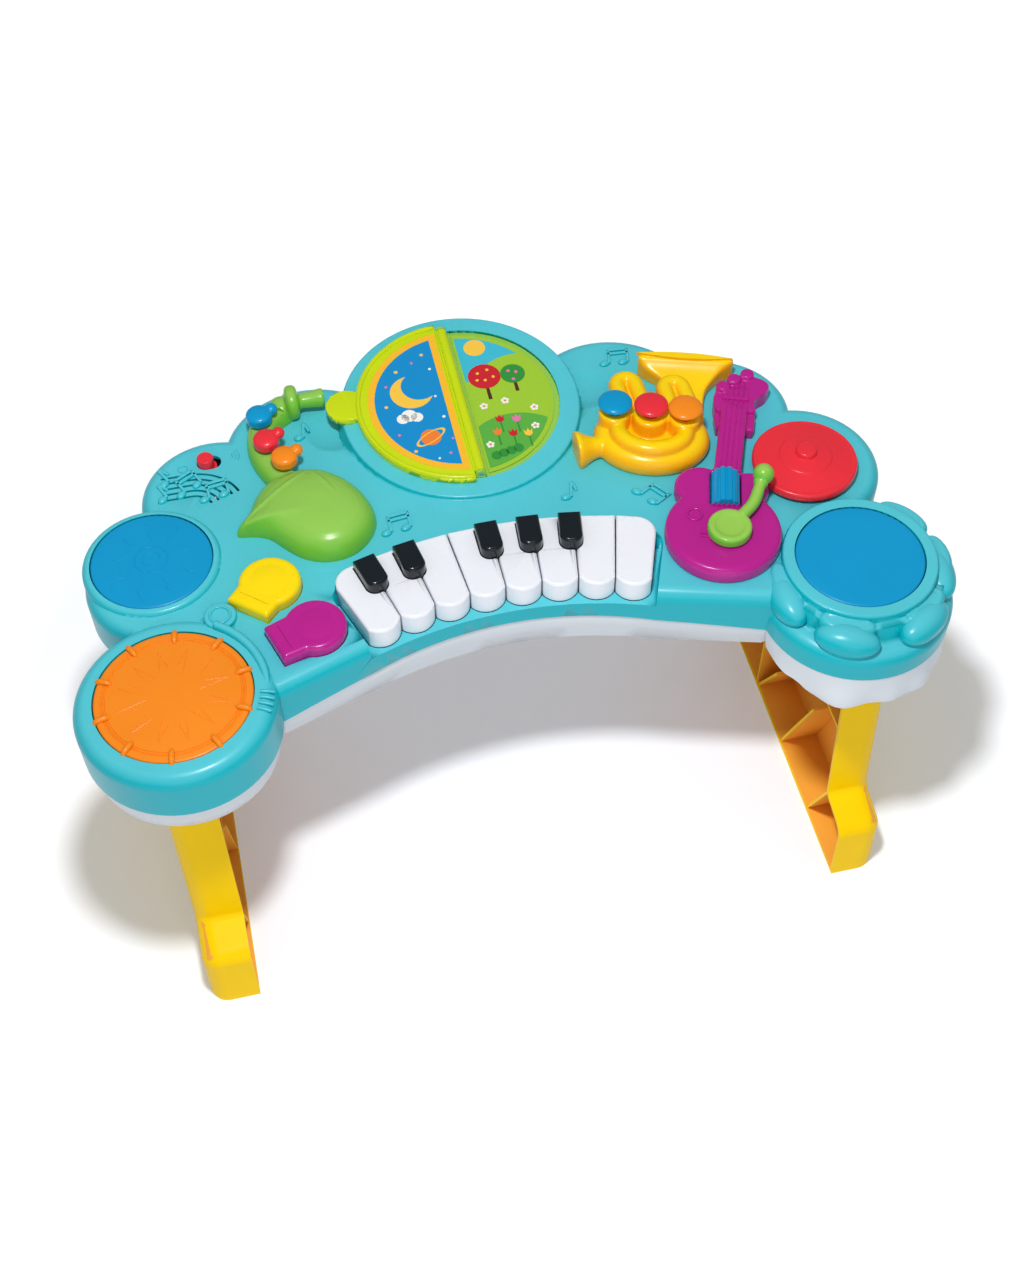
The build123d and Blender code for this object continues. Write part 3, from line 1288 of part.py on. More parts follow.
with BuildPart() as trumpet_body:
    a = radians(TRUMPET_ANGLE)
    with BuildSketch(Plane(origin=(*TRUMPET_LOOP, DECK_Z), x_dir=(cos(a), sin(a), 0), z_dir=(0, 0, 1))):
        Ellipse(LOOP_SIDE, LOOP_FRONT)
    extrude(amount=LOOP_Z + LOOP_FILL - DECK_Z)
    add(oval(LOOP_SIDE, LOOP_FRONT, LOOP_Z, LOOP_TUBE_R))
    add(oval(SLIDE_SIDE, SLIDE_FRONT, SLIDE_Z, SLIDE_TUBE_R))
    for x, y in VALVES.values():
        add(disc(x, y, CASING_R, DECK_Z, CASING_TOP_Z))
    for x, y0, y1 in ARCHES:
        add(arch(x, y0, y1))
    across = (cos(a) * BELL_HALF, sin(a) * BELL_HALF)
    with BuildSketch(Plane.XY.offset(DECK_Z)):
        with BuildLine():
            rim_a = (BELL_RIM[0] - across[0], BELL_RIM[1] - across[1])
            rim_b = (BELL_RIM[0] + across[0], BELL_RIM[1] + across[1])
            bow = (BELL_RIM[0] - BELL_BOW * sin(a), BELL_RIM[1] + BELL_BOW * cos(a))
            ThreePointArc(rim_a, bow, rim_b)
            throat_b = (BELL_THROAT[0] + BELL_NECK_R, BELL_THROAT[1])
            throat_a = (BELL_THROAT[0] - BELL_NECK_R, BELL_THROAT[1])
            Spline(rim_b, throat_b, (BELL_NECK[0] + BELL_NECK_R, BELL_NECK[1]))
            Line((BELL_NECK[0] + BELL_NECK_R, BELL_NECK[1]), (BELL_NECK[0] - BELL_NECK_R, BELL_NECK[1]))
            Spline((BELL_NECK[0] - BELL_NECK_R, BELL_NECK[1]), throat_a, rim_a)
        make_face()
    extrude(amount=BELL_H)
    add(cone_between(MOUTH_FROM, MOUTH_WAIST, MOUTH_R, MOUTH_TUBE_R, LOOP_Z))
    add(cone_between(MOUTH_WAIST, MOUTH_TO, MOUTH_TUBE_R, MOUTH_TUBE_R + 1, LOOP_Z))
    split(bisect_by=Plane.XY.offset(DECK_Z), keep=Keep.TOP)
    add(stand(-SEAM_GAP), mode=Mode.SUBTRACT)
    for place in VALVES.values():
        add(disc(*place, VALVE_STEM_R + SLIDE_GAP, DECK_Z - 1, CASING_TOP_Z + 1), mode=Mode.SUBTRACT)
save(trumpet_body, "trumpet_body")

for colour, (x, y) in VALVES.items():
    with BuildPart() as valve:
        low = VALVE_TOP_Z - VALVE_CAP_T
        with BuildSketch(Plane(origin=(x, y, 0), x_dir=(1, 0, 0), z_dir=(0, -1, 0))):
            with BuildLine():
                Line((0, low), (VALVE_STEM_R + VALVE_LIP, low))
                Line((VALVE_STEM_R + VALVE_LIP, low), (VALVE_CAP_R, low + VALVE_LIP))
                Line((VALVE_CAP_R, low + VALVE_LIP), (VALVE_CAP_R, low + 2 * VALVE_LIP))
                ThreePointArc(*crown(VALVE_CAP_R, low + 2 * VALVE_LIP, VALVE_TOP_Z))
                Line((0, VALVE_TOP_Z), (0, low))
            make_face()
        revolve(axis=Axis((x, y, 0), (0, 0, 1)))
        add(push_key([(x, y)], low + VALVE_LIP, VALVE_STEM_R, VALVE_TRAVEL))
    save(valve, f"trumpet_valve_{colour}")


# ---------------------------------------------------------------- guitar
def roller_space(radius, length):
    """Cylinder along the roller's axis."""
    t = radians(ROLLER_TURN)
    axis = (cos(t), sin(t), 0)
    start = (ROLLER[0] - axis[0] * length / 2, ROLLER[1] - axis[1] * length / 2, ROLLER_Z)
    with BuildPart() as cylinder:
        with BuildSketch(Plane(origin=start, z_dir=axis)):
            Circle(radius)
        extrude(amount=length)
    return cylinder.part


with BuildPart() as guitar_body:
    with BuildSketch(Plane.XY.offset(DECK_Z)):
        for x, y, radius in (LOWER_BOUT, UPPER_LEFT_BOUT, UPPER_RIGHT_BOUT):
            with Locations((x, y)):
                Circle(radius)
        with BuildLine():
            Polyline(
                (LOWER_BOUT[0] - GUITAR_WAIST, LOWER_BOUT[1]),
                (UPPER_LEFT_BOUT[0] - GUITAR_WAIST / 2, UPPER_LEFT_BOUT[1]),
                UPPER_RIGHT_BOUT[:2],
                (LOWER_BOUT[0] + GUITAR_WAIST, LOWER_BOUT[1]),
                close=True,
            )
        make_face()
    extrude(amount=GUITAR_TOP_Z - DECK_Z)
    fillet(guitar_body.faces().sort_by(Axis.Z)[-1].edges(), GUITAR_EDGE_R)
    run = (NECK_TO[0] - NECK_FROM[0], NECK_TO[1] - NECK_FROM[1])
    length = hypot(*run)
    middle = ((NECK_FROM[0] + NECK_TO[0]) / 2, (NECK_FROM[1] + NECK_TO[1]) / 2)
    with BuildPart(mode=Mode.PRIVATE) as neck:
        with BuildSketch(Plane.XY.offset(DECK_Z)):
            with Locations(Location((*middle, 0), (0, 0, degrees(atan2(run[1], run[0]))))):
                Rectangle(length, NECK_W)
            with BuildLine():
                Polyline(*HEADSTOCK, close=True)
            make_face()
        extrude(amount=NECK_TOP_Z - DECK_Z)
    add(neck.part)
    t = ROLLER_TURN
    with BuildSketch(Plane.XY.offset(DECK_Z - 1)):
        with Locations(Location((*ROLLER, 0), (0, 0, t))):
            Rectangle(ROLLER_L + 2 * SLIDE_GAP, 2 * (ROLLER_R + SLIDE_GAP))
    extrude(amount=NECK_TOP_Z + 2 - DECK_Z, mode=Mode.SUBTRACT)
    add(roller_space(ROLLER_AXLE_R + PIN_PLAY, ROLLER_L + 2 * ROLLER_AXLE_SEAT + 1), mode=Mode.SUBTRACT)
    add(disc(*LEVER_HUB, LEVER_POST_R + PIN_PLAY, DECK_Z - 1, NECK_TOP_Z + 1), mode=Mode.SUBTRACT)
    add(disc(*CYMBAL[:2], CYMBAL[2] + SLIDE_GAP, DECK_Z - 1, NECK_TOP_Z + 1), mode=Mode.SUBTRACT)
save(guitar_body, "guitar_body")

with BuildPart() as roller_axle:
    add(roller_space(ROLLER_AXLE_R, ROLLER_L + 2 * ROLLER_AXLE_SEAT))
save(roller_axle, "roller_axle")

with BuildPart() as guitar_roller:
    add(roller_space(ROLLER_R, ROLLER_L))
    add(roller_space(ROLLER_AXLE_R + PIN_PLAY, ROLLER_L + 2), mode=Mode.SUBTRACT)
    t = radians(ROLLER_TURN)
    for index in range(ROLLER_FLUTES):
        a = radians(index * 360 / ROLLER_FLUTES)
        side = (-sin(t) * cos(a), cos(t) * cos(a), sin(a))
        start = (
            ROLLER[0] - cos(t) * ROLLER_L + side[0] * ROLLER_R,
            ROLLER[1] - sin(t) * ROLLER_L + side[1] * ROLLER_R,
            ROLLER_Z + side[2] * ROLLER_R,
        )
        with BuildSketch(Plane(origin=start, z_dir=(cos(t), sin(t), 0))):
            Circle(FLUTE_R)
        extrude(amount=2 * ROLLER_L, mode=Mode.SUBTRACT)
save(guitar_roller, "guitar_roller")

with BuildPart() as guitar_lever:
    add(puck(*LEVER_HUB, LEVER_HUB_R, LEVER_Z, LEVER_Z + LEVER_T, LEVER_EDGE_R))
    add(disc(*LEVER_HUB, LEVER_POST_R, LEVER_POST_Z, LEVER_Z + 1))
    low, high = LEVER_ARM_Z
    for a, b in ((LEVER_HUB, LEVER_BEND), (LEVER_BEND, LEVER_BALL[:2])):
        with BuildSketch(Plane.XY.offset(low)):
            with Locations(a, b):
                Circle(LEVER_ARM_W / 2)
            make_hull()
        extrude(amount=high - low)
    with Locations((*LEVER_BALL[:2], LEVER_BALL_Z)):
        Sphere(LEVER_BALL[2])
    add(disc(*LEVER_HUB, SCREW_R + PIN_PLAY, LEVER_POST_Z - 1, LEVER_Z), mode=Mode.SUBTRACT)
save(guitar_lever, "guitar_lever")

with BuildPart() as lever_screw:
    add(disc(*LEVER_HUB, LEVER_SCREW_HEAD_R, LEVER_POST_Z - LEVER_SCREW_HEAD_T, LEVER_POST_Z))
    add(disc(*LEVER_HUB, SCREW_R, LEVER_POST_Z - 1, LEVER_Z - 1))
save(lever_screw, "lever_screw")


# ---------------------------------------------------------------- song book
def half_disc(radius, side, start, low, thickness):
    """Half a disc beside the book's spine, cut off straight at start from it."""
    with BuildPart() as half:
        with BuildSketch(tilted(low)):
            Circle(radius)
            with Locations((-side * (radius - start), 0)):
                Rectangle(2 * radius, 2 * radius, mode=Mode.SUBTRACT)
        extrude(amount=thickness)
    return half.part


PAGE_LOW = SEAM_GAP
HINGE_UP = PAGE_LOW + PAGE_T / 2


def along_spine(radius, y0, y1):
    """Cylinder on the page's hinge line, between two places along the spine."""
    frame = tilted(HINGE_UP)
    with BuildPart() as rod:
        with BuildSketch(Plane(origin=frame.origin + frame.y_dir * y0, z_dir=frame.y_dir)):
            Circle(radius)
        extrude(amount=y1 - y0)
    return rod.part


EAR_END = EAR_AT + EAR_T

with BuildPart() as book_bed:
    with BuildSketch(tilted(-BED_DROP - BED_T)):
        Circle(BOOK_BORE_R - SEAM_GAP)
    extrude(amount=BED_T)
    with BuildSketch(tilted(-BED_DROP - BED_T)):
        Circle(BOOK_BORE_R + BED_LIP)
        Circle(BOOK_BORE_R - 2 * SEAM_GAP, mode=Mode.SUBTRACT)
    extrude(amount=BED_DROP + BED_T - WALL)
    for y0, y1 in ((-EAR_END, -EAR_AT), (EAR_AT, EAR_END)):
        add(along_spine(SPINE_R, y0, y1))
        frame = tilted(-BED_DROP - BED_T / 2)
        with BuildSketch(frame):
            with Locations((0, (y0 + y1) / 2)):
                Rectangle(2 * SPINE_R, EAR_T)
        extrude(amount=BED_DROP + BED_T / 2 + HINGE_UP)
    add(along_spine(PAGE_PIN_R + PIN_PLAY, -EAR_END - 1, EAR_END + 1), mode=Mode.SUBTRACT)
save(book_bed, "book_bed")

with BuildPart() as right_picture:
    add(half_disc(BOOK_BORE_R - PICTURE_RIM, 1, PICTURE_FROM, -BED_DROP, PICTURE_T))
save(right_picture, "right_picture")

with BuildPart() as left_picture:
    add(half_disc(BOOK_BORE_R - PICTURE_RIM, -1, PICTURE_FROM, -BED_DROP, PICTURE_T))
save(left_picture, "left_picture")

with BuildPart() as book_page:
    add(half_disc(PAGE_R, -1, 0, PAGE_LOW, PAGE_T))
    with BuildSketch(tilted(PAGE_LOW)):
        with Locations((-PAGE_TAB[0], PAGE_TAB[1])):
            Circle(PAGE_TAB[2])
        with Locations((0, 0)):
            Circle(PAGE_R - 1, mode=Mode.SUBTRACT)
    extrude(amount=PAGE_T)
    for sign in (-1, 1):
        with BuildSketch(tilted(-SPINE_R)):
            with Locations((0, sign * (EAR_AT - SEAM_GAP + PAGE_R / 2))):
                Rectangle(2 * (SPINE_R + SLIDE_GAP), PAGE_R)
        extrude(amount=4 * SPINE_R, mode=Mode.SUBTRACT)
    add(along_spine(SPINE_R, SEAM_GAP - EAR_AT, EAR_AT - SEAM_GAP))
    add(along_spine(PAGE_PIN_R + PIN_PLAY, -PAGE_R, PAGE_R), mode=Mode.SUBTRACT)
save(book_page, "book_page")

with BuildPart() as page_front_picture:
    add(half_disc(PICTURE_R, -1, PICTURE_FROM, PAGE_LOW + PAGE_T, PICTURE_T))
save(page_front_picture, "page_front_picture")

with BuildPart() as page_back_picture:
    add(half_disc(PICTURE_R, -1, PICTURE_FROM, PAGE_LOW - PICTURE_T, PICTURE_T))
save(page_back_picture, "page_back_picture")

with BuildPart() as page_pin:
    add(along_spine(PAGE_PIN_R, -EAR_END, EAR_END))
save(page_pin, "page_pin")


# ---------------------------------------------------------------- switch and loudspeaker
with BuildPart() as power_switch:
    add(disc(*SWITCH, SWITCH_R, FLANGE_TOP_Z - FLANGE_T, SWITCH_TOP_Z))
    fillet(power_switch.faces().sort_by(Axis.Z)[-1].edges(), PAD_EDGE_R)
    add(disc(*SWITCH, SWITCH_R + FLANGE, FLANGE_TOP_Z - FLANGE_T, FLANGE_TOP_Z))
    add(disc(*SWITCH, PLUNGER_R, SLIDE_SWITCH_Z + SEAM_GAP, FLANGE_TOP_Z))
save(power_switch, "power_switch")

with BuildPart() as slide_switch:
    x, y = SWITCH
    half = SWITCH_TRAVEL + PLUNGER_R
    add(box(x - half, x + half + SWITCH_TRAVEL, y - half, y + half, BOARD_Z, SLIDE_SWITCH_Z))
save(slide_switch, "slide_switch")

with BuildPart() as speaker:
    x, y = SPEAKER
    add(disc(x, y, SPEAKER_R, FLANGE_TOP_Z - SPEAKER_RIM_T, FLANGE_TOP_Z))
    with BuildSketch(Plane.XY.offset(FLANGE_TOP_Z - SPEAKER_RIM_T)) as wide:
        with Locations(SPEAKER):
            Circle(SPEAKER_R - FLANGE)
    with BuildSketch(Plane.XY.offset(FLANGE_TOP_Z - SPEAKER_H / 2)) as narrow:
        with Locations(SPEAKER):
            Circle(MAGNET_R)
    loft(sections=[wide.sketch, narrow.sketch], ruled=True)
    add(disc(x, y, MAGNET_R, FLANGE_TOP_Z - SPEAKER_H, FLANGE_TOP_Z - SPEAKER_H / 2))
    add(disc(x, y, SPEAKER_R - 2 * FLANGE, FLANGE_TOP_Z - FLANGE, FLANGE_TOP_Z + 1), mode=Mode.SUBTRACT)
save(speaker, "speaker")

with BuildPart() as speaker_ring:
    with BuildSketch(Plane.XY.offset(FLANGE_TOP_Z - SPEAKER_RIM_T - FLANGE_T)):
        with Locations(SPEAKER):
            Circle(SPEAKER_RING_R)
            Circle(SPEAKER_R - FLANGE + SEAM_GAP, mode=Mode.SUBTRACT)
    extrude(amount=FLANGE_T)
    with BuildSketch(Plane.XY.offset(FLANGE_TOP_Z - SPEAKER_RIM_T)):
        with Locations(SPEAKER):
            Circle(SPEAKER_RING_R)
            Circle(SPEAKER_R + SEAM_GAP, mode=Mode.SUBTRACT)
    extrude(amount=SPEAKER_RIM_T + SEAM_GAP)
save(speaker_ring, "speaker_ring")


# ---------------------------------------------------------------- boards and switches
def switch_board(places):
    """Small board with one push switch per place."""
    with BuildPart() as board:
        with BuildSketch(Plane.XY.offset(BOARD_Z)):
            with Locations(*places):
                Circle(BOARD_R)
            if len(places) > 1:
                make_hull()
        extrude(amount=BOARD_T)
        with BuildSketch(Plane.XY.offset(BOARD_Z + BOARD_T)):
            with Locations(*places):
                Rectangle(TACT_W, TACT_W)
        extrude(amount=TACT_H)
        for place in places:
            add(disc(*place, TACT_TIP_R, TACT_TOP_Z - TACT_TIP_H, TACT_TOP_Z))
    return board.part


with BuildPart() as pad_switches:
    for place in pillar_places()[:6]:
        add(switch_board([place]))
save(pad_switches, "pad_switches")

with BuildPart() as sax_key_board:
    add(switch_board(list(SAX_KEYS.values())))
save(sax_key_board, "sax_key_board")

with BuildPart() as valve_board:
    add(switch_board(list(VALVES.values())))
save(valve_board, "valve_board")

with BuildPart() as main_board:
    x, y = BATTERY
    half_x, half_y = MAIN_BOARD[0] / 2, MAIN_BOARD[1] / 2
    low = ROOM_TOP_Z + WALL
    add(box(x - half_x, x + half_x, y - half_y, y + half_y, low, low + BOARD_T))
    for dx, dy, w, h in BOARD_PARTS:
        top = low + BOARD_T + h
        add(box(x + dx - w / 2, x + dx + w / 2, y + dy - w / 2, y + dy + w / 2, low + BOARD_T, top))
save(main_board, "main_board")


# ---------------------------------------------------------------- batteries
CELL_Z = BASE_FLOOR_Z + SEAM_GAP + AA_R
CELL_PITCH = 2 * AA_R + AA_GAP
CELL_YS = [BATTERY[1] + (index - (BATTERY_COUNT - 1) / 2) * CELL_PITCH for index in range(BATTERY_COUNT)]

with BuildPart() as battery_cells:
    for y in CELL_YS:
        for x0, x1, radius in (
            (BATTERY[0] - AA_L / 2, BATTERY[0] + AA_L / 2 - AA_TIP, AA_R),
            (BATTERY[0] + AA_L / 2 - AA_TIP, BATTERY[0] + AA_L / 2, CONTACT_R),
        ):
            with BuildSketch(Plane.YZ.offset(x0)):
                with Locations((y, CELL_Z)):
                    Circle(radius)
            extrude(amount=x1 - x0)
save(battery_cells, "battery_cells")

with BuildPart() as battery_contacts:
    for y in CELL_YS:
        for side in (-1, 1):
            wall = BATTERY[0] + side * (ROOM_X - PIN_PLAY)
            tip = BATTERY[0] + side * (AA_L / 2 + PIN_PLAY)
            plate = sorted((wall, wall - side * CONTACT_T))
            add(box(*plate, y - AA_R, y + AA_R, CELL_Z - AA_R / 2, CELL_Z + AA_R / 2))
            bump = sorted((tip, wall - side * CONTACT_T / 2))
            with BuildSketch(Plane.YZ.offset(bump[0])):
                with Locations((y, CELL_Z)):
                    Circle(CONTACT_R)
            extrude(amount=bump[1] - bump[0])
save(battery_contacts, "battery_contacts")

with BuildPart() as battery_door:
    add(room_box(DOOR_LEDGE - SEAM_GAP, BASE_Z, BASE_FLOOR_Z))
    add(disc(*DOOR_TAB[:2], DOOR_TAB[2] - SEAM_GAP, BASE_Z, BASE_FLOOR_Z))
    add(disc(*DOOR_TAB[:2], SCREW_R + PIN_PLAY, BASE_Z - 1, BASE_FLOOR_Z + 1), mode=Mode.SUBTRACT)
    add(disc(*DOOR_TAB[:2], SCREW_HEAD_R + SLIDE_GAP, BASE_Z - 1, DOOR_SEAT_Z), mode=Mode.SUBTRACT)
save(battery_door, "battery_door")


# ---------------------------------------------------------------- screws
def screw(x, y, seat_z, length, head_t):
    """Flat-head screw driven upwards, with a cross in its head."""
    with BuildPart() as one:
        add(disc(x, y, SCREW_HEAD_R, seat_z - head_t, seat_z))
        add(disc(x, y, SCREW_R, seat_z - head_t / 4, seat_z + length))
        with BuildSketch(Plane.XY.offset(seat_z - head_t)):
            with Locations((x, y)):
                Rectangle(SCREW_HEAD_R, SCREW_R / 2)
                Rectangle(SCREW_R / 2, SCREW_HEAD_R)
        extrude(amount=head_t / 2, mode=Mode.SUBTRACT)
    return one.part


with BuildPart() as case_screws:
    for place in screw_places():
        add(screw(*place, BASE_Z + SCREW_SINK, SCREW_L, SCREW_HEAD_T))
save(case_screws, "case_screws")

with BuildPart() as door_screw:
    add(screw(*DOOR_TAB[:2], DOOR_SEAT_Z, DOOR_SCREW_L, DOOR_HEAD_T))
save(door_screw, "door_screw")
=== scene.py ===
import json
from math import atan2, cos, degrees, hypot, pi, radians, sin

import bmesh
import bpy
from mathutils import Matrix, Vector

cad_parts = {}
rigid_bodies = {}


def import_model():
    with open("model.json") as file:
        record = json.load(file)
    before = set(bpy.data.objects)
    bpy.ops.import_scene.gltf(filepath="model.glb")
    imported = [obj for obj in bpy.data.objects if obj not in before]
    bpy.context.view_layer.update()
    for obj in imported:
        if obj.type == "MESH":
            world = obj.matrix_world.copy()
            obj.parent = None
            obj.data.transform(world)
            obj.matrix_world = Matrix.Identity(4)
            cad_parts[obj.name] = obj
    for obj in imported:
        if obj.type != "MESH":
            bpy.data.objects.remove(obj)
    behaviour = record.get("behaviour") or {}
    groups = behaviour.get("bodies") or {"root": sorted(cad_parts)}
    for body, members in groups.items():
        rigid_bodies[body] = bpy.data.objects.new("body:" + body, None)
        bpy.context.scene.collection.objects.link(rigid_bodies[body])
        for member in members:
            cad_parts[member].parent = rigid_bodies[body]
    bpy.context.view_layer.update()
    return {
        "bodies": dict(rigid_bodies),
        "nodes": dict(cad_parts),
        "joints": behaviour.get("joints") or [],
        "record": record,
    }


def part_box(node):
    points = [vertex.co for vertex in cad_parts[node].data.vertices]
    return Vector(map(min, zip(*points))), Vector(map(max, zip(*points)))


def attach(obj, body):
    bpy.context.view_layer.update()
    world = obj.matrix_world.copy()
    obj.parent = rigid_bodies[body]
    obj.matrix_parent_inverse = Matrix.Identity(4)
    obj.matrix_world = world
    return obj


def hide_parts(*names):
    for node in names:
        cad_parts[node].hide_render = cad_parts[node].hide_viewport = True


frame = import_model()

bl_info = {
    "name": "Musical Activity Table",
    "version": (1, 0, 0),
    "blender": (4, 5, 0),
    "location": "View3D > Sidebar > Music Table",
    "description": "Dresses a toddler's music table: shell, keys, drums, instruments, book, legs and studio",
    "category": "Add Mesh",
}

TABLE = "table"        # the body that every fixed piece rides on
MM = 0.001
DECK = 0.240           # deck surface
HOUSING = 0.243        # raised drum housings
ROOT = DECK - 0.0006   # pieces moulded on the deck start a little under it
FLOOR_SIZE = 9.0
BOOK = Vector((0.0, 0.0955, 0.248))
BOOK_TILT = radians(3.3)
ORANGE_DRUM = (-0.2144, -0.0995)
TAMBOURINE = (0.2140, -0.1005)        # middle of the tambourine's rim
JINGLES = (-173, -118, -57, -8, 36)   # where its jingles lie round the rim, in degrees
HUB = (-0.1802, -0.0461)              # round boss that the drum's rod starts from
SWITCH_SIGN = (-0.1895, 0.0845)
LOUDNESS_SIGN = (-0.1590, 0.0895)
SIGN_LINE = 0.00045                   # half width of the signs' lines
VALVES = {"blue": (0.0949, 0.0505), "red": (0.1173, 0.0429), "orange": (0.1384, 0.0352)}


# ---------------------------------------------------------------- colours and sizes a user may change
def linear(red, green, blue):
    """A colour written 0 to 255, as the values the shader works with."""
    parts = (red, green, blue)
    return tuple(((c / 255 + 0.055) / 1.055) ** 2.4 if c > 10 else c / 255 / 12.92 for c in parts)


def colour(label, about, *rgb):
    return bpy.props.FloatVectorProperty(
        name=label, description=about, subtype="COLOR", size=3, min=0, max=1, default=linear(*rgb)
    )


def length(label, about, value):
    return bpy.props.FloatProperty(name=label, description=about, unit="LENGTH", default=value, min=0)


class TableColours(bpy.types.PropertyGroup):
    shell: colour("Shell", "Turquoise of the deck", 84, 199, 213)
    # Painted shade: the upright walls get this darker turquoise in place of their shading; the shell colour
    # goes on faces turned up.
    shell_painted_shade: colour("Shell sides", "Deeper turquoise of the upright walls", 0, 178, 192)
    base: colour("Base", "Pale grey of the tray", 216, 222, 228)
    legs: colour("Legs", "Yellow of the legs", 255, 208, 0)
    # Painted shade: faces inside the hollow legs get this deeper orange in place of the shade that falls
    # there.
    leg_inside: colour("Leg inside", "Deeper tone inside the hollow legs", 244, 172, 60)
    orange: colour("Orange", "Big drum and its small relations", 248, 140, 28)
    blue: colour("Blue", "Blue drums, roller and keys", 0, 152, 206)
    red: colour("Red", "Cymbal and red buttons", 237, 48, 62)
    purple: colour("Purple", "Guitar and castanet", 186, 30, 142)
    yellow: colour("Yellow", "Yellow castanet", 255, 221, 2)
    brass: colour("Trumpet", "Trumpet yellow", 255, 215, 2)
    green: colour("Saxophone", "Saxophone green", 146, 201, 84)
    light_green: colour("Lever", "Lever and bed of the book", 152, 205, 84)
    lime: colour("Page", "Lime of the page", 202, 222, 16)
    white_key: colour("White keys", "White of the keys", 238, 241, 248)
    black_key: colour("Black keys", "Black of the raised keys", 22, 30, 36)


class TableSizes(bpy.types.PropertyGroup):
    note_height: length("Note relief", "How far the notes stand over the deck", 0.0016)
    note_head: length("Note head", "Half length of a note's head", 0.0038)
    note_stem: length("Note stem", "Length of a note's stem", 0.0125)
    drum_bar: length("Drum bar", "Half width of the bars on the orange drum", 0.0018)
    string: length("String", "Half width of the guitar's strings", 0.00045)


# ---------------------------------------------------------------- small tools
def rest():
    """Object mode with nothing selected."""
    if bpy.context.object and bpy.context.object.mode != "OBJECT":
        bpy.ops.object.mode_set(mode="OBJECT")
    bpy.ops.object.select_all(action="DESELECT")


def pick(*objects):
    rest()
    for ob in objects:
        ob.select_set(True)
    bpy.context.view_layer.objects.active = objects[0]


def edit(ob, faces=None):
    """Edit mode on ob with the faces selected whose centre and normal pass the test."""
    pick(ob)
    bpy.ops.object.mode_set(mode="EDIT")
    bpy.ops.mesh.select_mode(type="FACE")
    bpy.ops.mesh.select_all(action="DESELECT")
    if faces:
        mesh = bmesh.from_edit_mesh(ob.data)
        for face in mesh.faces:
            face.select_set(bool(faces(face.calc_center_median(), face.normal)))
        mesh.select_flush_mode()
        bmesh.update_edit_mesh(ob.data)
    else:
        bpy.ops.mesh.select_all(action="SELECT")


def placed(ob):
    """Writes the object's place, turn and size into its mesh."""
    pick(ob)
    bpy.ops.object.transform_apply(location=True, rotation=True, scale=True)
    return ob


def modified(ob, kind, **settings):
    """Adds a modifier, sets it and applies it."""
    pick(ob)
    bpy.ops.object.modifier_add(type=kind)
    modifier = ob.modifiers[-1]
    for key, value in settings.items():
        setattr(modifier, key, value)
    bpy.ops.object.modifier_apply(modifier=modifier.name)
    return ob


def joined(first, *others):
    pick(first, *others)
    bpy.ops.object.join()
    return first


def drum(x, y, radius, low, high, sides=96):
    bpy.ops.mesh.primitive_cylinder_add(
        vertices=sides, radius=radius, depth=high - low, location=(x, y, (low + high) / 2)
    )
    return placed(bpy.context.object)


def ball(x, y, z, rx, ry, rz, turn=0.0, rings=32):
    bpy.ops.mesh.primitive_uv_sphere_add(segments=2 * rings, ring_count=rings, radius=1, location=(x, y, z))
    ob = bpy.context.object
    ob.scale = (rx, ry, rz)
    ob.rotation_euler.z = turn
    return placed(ob)


def bar(a, b, width, low, high, edge=0.0003):
    """Flat bar between two points in plan, with softened edges."""
    run = Vector((b[0] - a[0], b[1] - a[1]))
    bpy.ops.mesh.primitive_cube_add(size=1, location=((a[0] + b[0]) / 2, (a[1] + b[1]) / 2, (low + high) / 2))
    ob = bpy.context.object
    ob.scale = (run.length, width, high - low)
    ob.rotation_euler.z = atan2(run.y, run.x)
    placed(ob)
    return modified(ob, "BEVEL", width=edge, segments=2)


def tube(points, radius, radii=None, closed=False, sides=5):
    """Round tube along a smooth line, with closed ends; radii scales it at each point."""
    bpy.ops.curve.primitive_nurbs_path_add(location=(0, 0, 0))
    ob = bpy.context.object
    line = ob.data
    line.splines.clear()
    spline = line.splines.new("NURBS")
    spline.points.add(len(points) - 1)
    for index, (x, y, z) in enumerate(points):
        spline.points[index].co = (x, y, z, 1)
        spline.points[index].radius = radii[index] if radii else 1
    spline.order_u = 3
    spline.use_endpoint_u = not closed
    spline.use_cyclic_u = closed
    line.resolution_u = 10
    line.bevel_depth = radius
    line.bevel_resolution = sides
    line.use_fill_caps = True
    pick(ob)
    bpy.ops.object.convert(target="MESH")
    ob = bpy.context.object
    edit(ob)
    bpy.ops.mesh.remove_doubles(threshold=1e-6)
    turned_out()
    return ob


def turned_out():
    """Turns all faces of the edited mesh outward and ends the editing."""
    bpy.ops.mesh.select_all(action="SELECT")
    bpy.ops.mesh.normals_make_consistent(inside=False)
    rest()


def built_up(centre, first, rings):
    """Extrudes what is selected ring by ring: each ring is a size and a height."""
    size, z = first
    for next_size, next_z in rings:
        bpy.ops.mesh.extrude_region_move()
        share = next_size / size
        bpy.ops.transform.resize(value=(share, share, 1), center_override=(*centre, z))
        bpy.ops.transform.translate(value=(0, 0, next_z - z))
        size, z = next_size, next_z
    bpy.ops.mesh.select_all(action="SELECT")


def stacked(x, y, rings, sides=128):
    """Round piece built up ring by ring: each ring is a radius and a height."""
    radius, z = rings[0]
    bpy.ops.mesh.primitive_circle_add(vertices=sides, radius=radius, fill_type="NGON", location=(x, y, z))
    ob = placed(bpy.context.object)
    edit(ob)
    built_up((x, y), rings[0], rings[1:])
    turned_out()
    return ob


def fused(ob, voxel, passes=5, factor=0.5):
    """One skin over all that is joined, with its seams melted together."""
    modified(ob, "REMESH", mode="VOXEL", voxel_size=voxel)
    if passes:
        modified(ob, "SMOOTH", factor=factor, iterations=passes)
    return ob


def cut_away(ob, *tools):
    """Takes the tools' room out of ob."""
    for tool in tools:
        modified(ob, "BOOLEAN", operation="DIFFERENCE", object=tool, solver="EXACT")
        bpy.data.objects.remove(tool)
    return ob


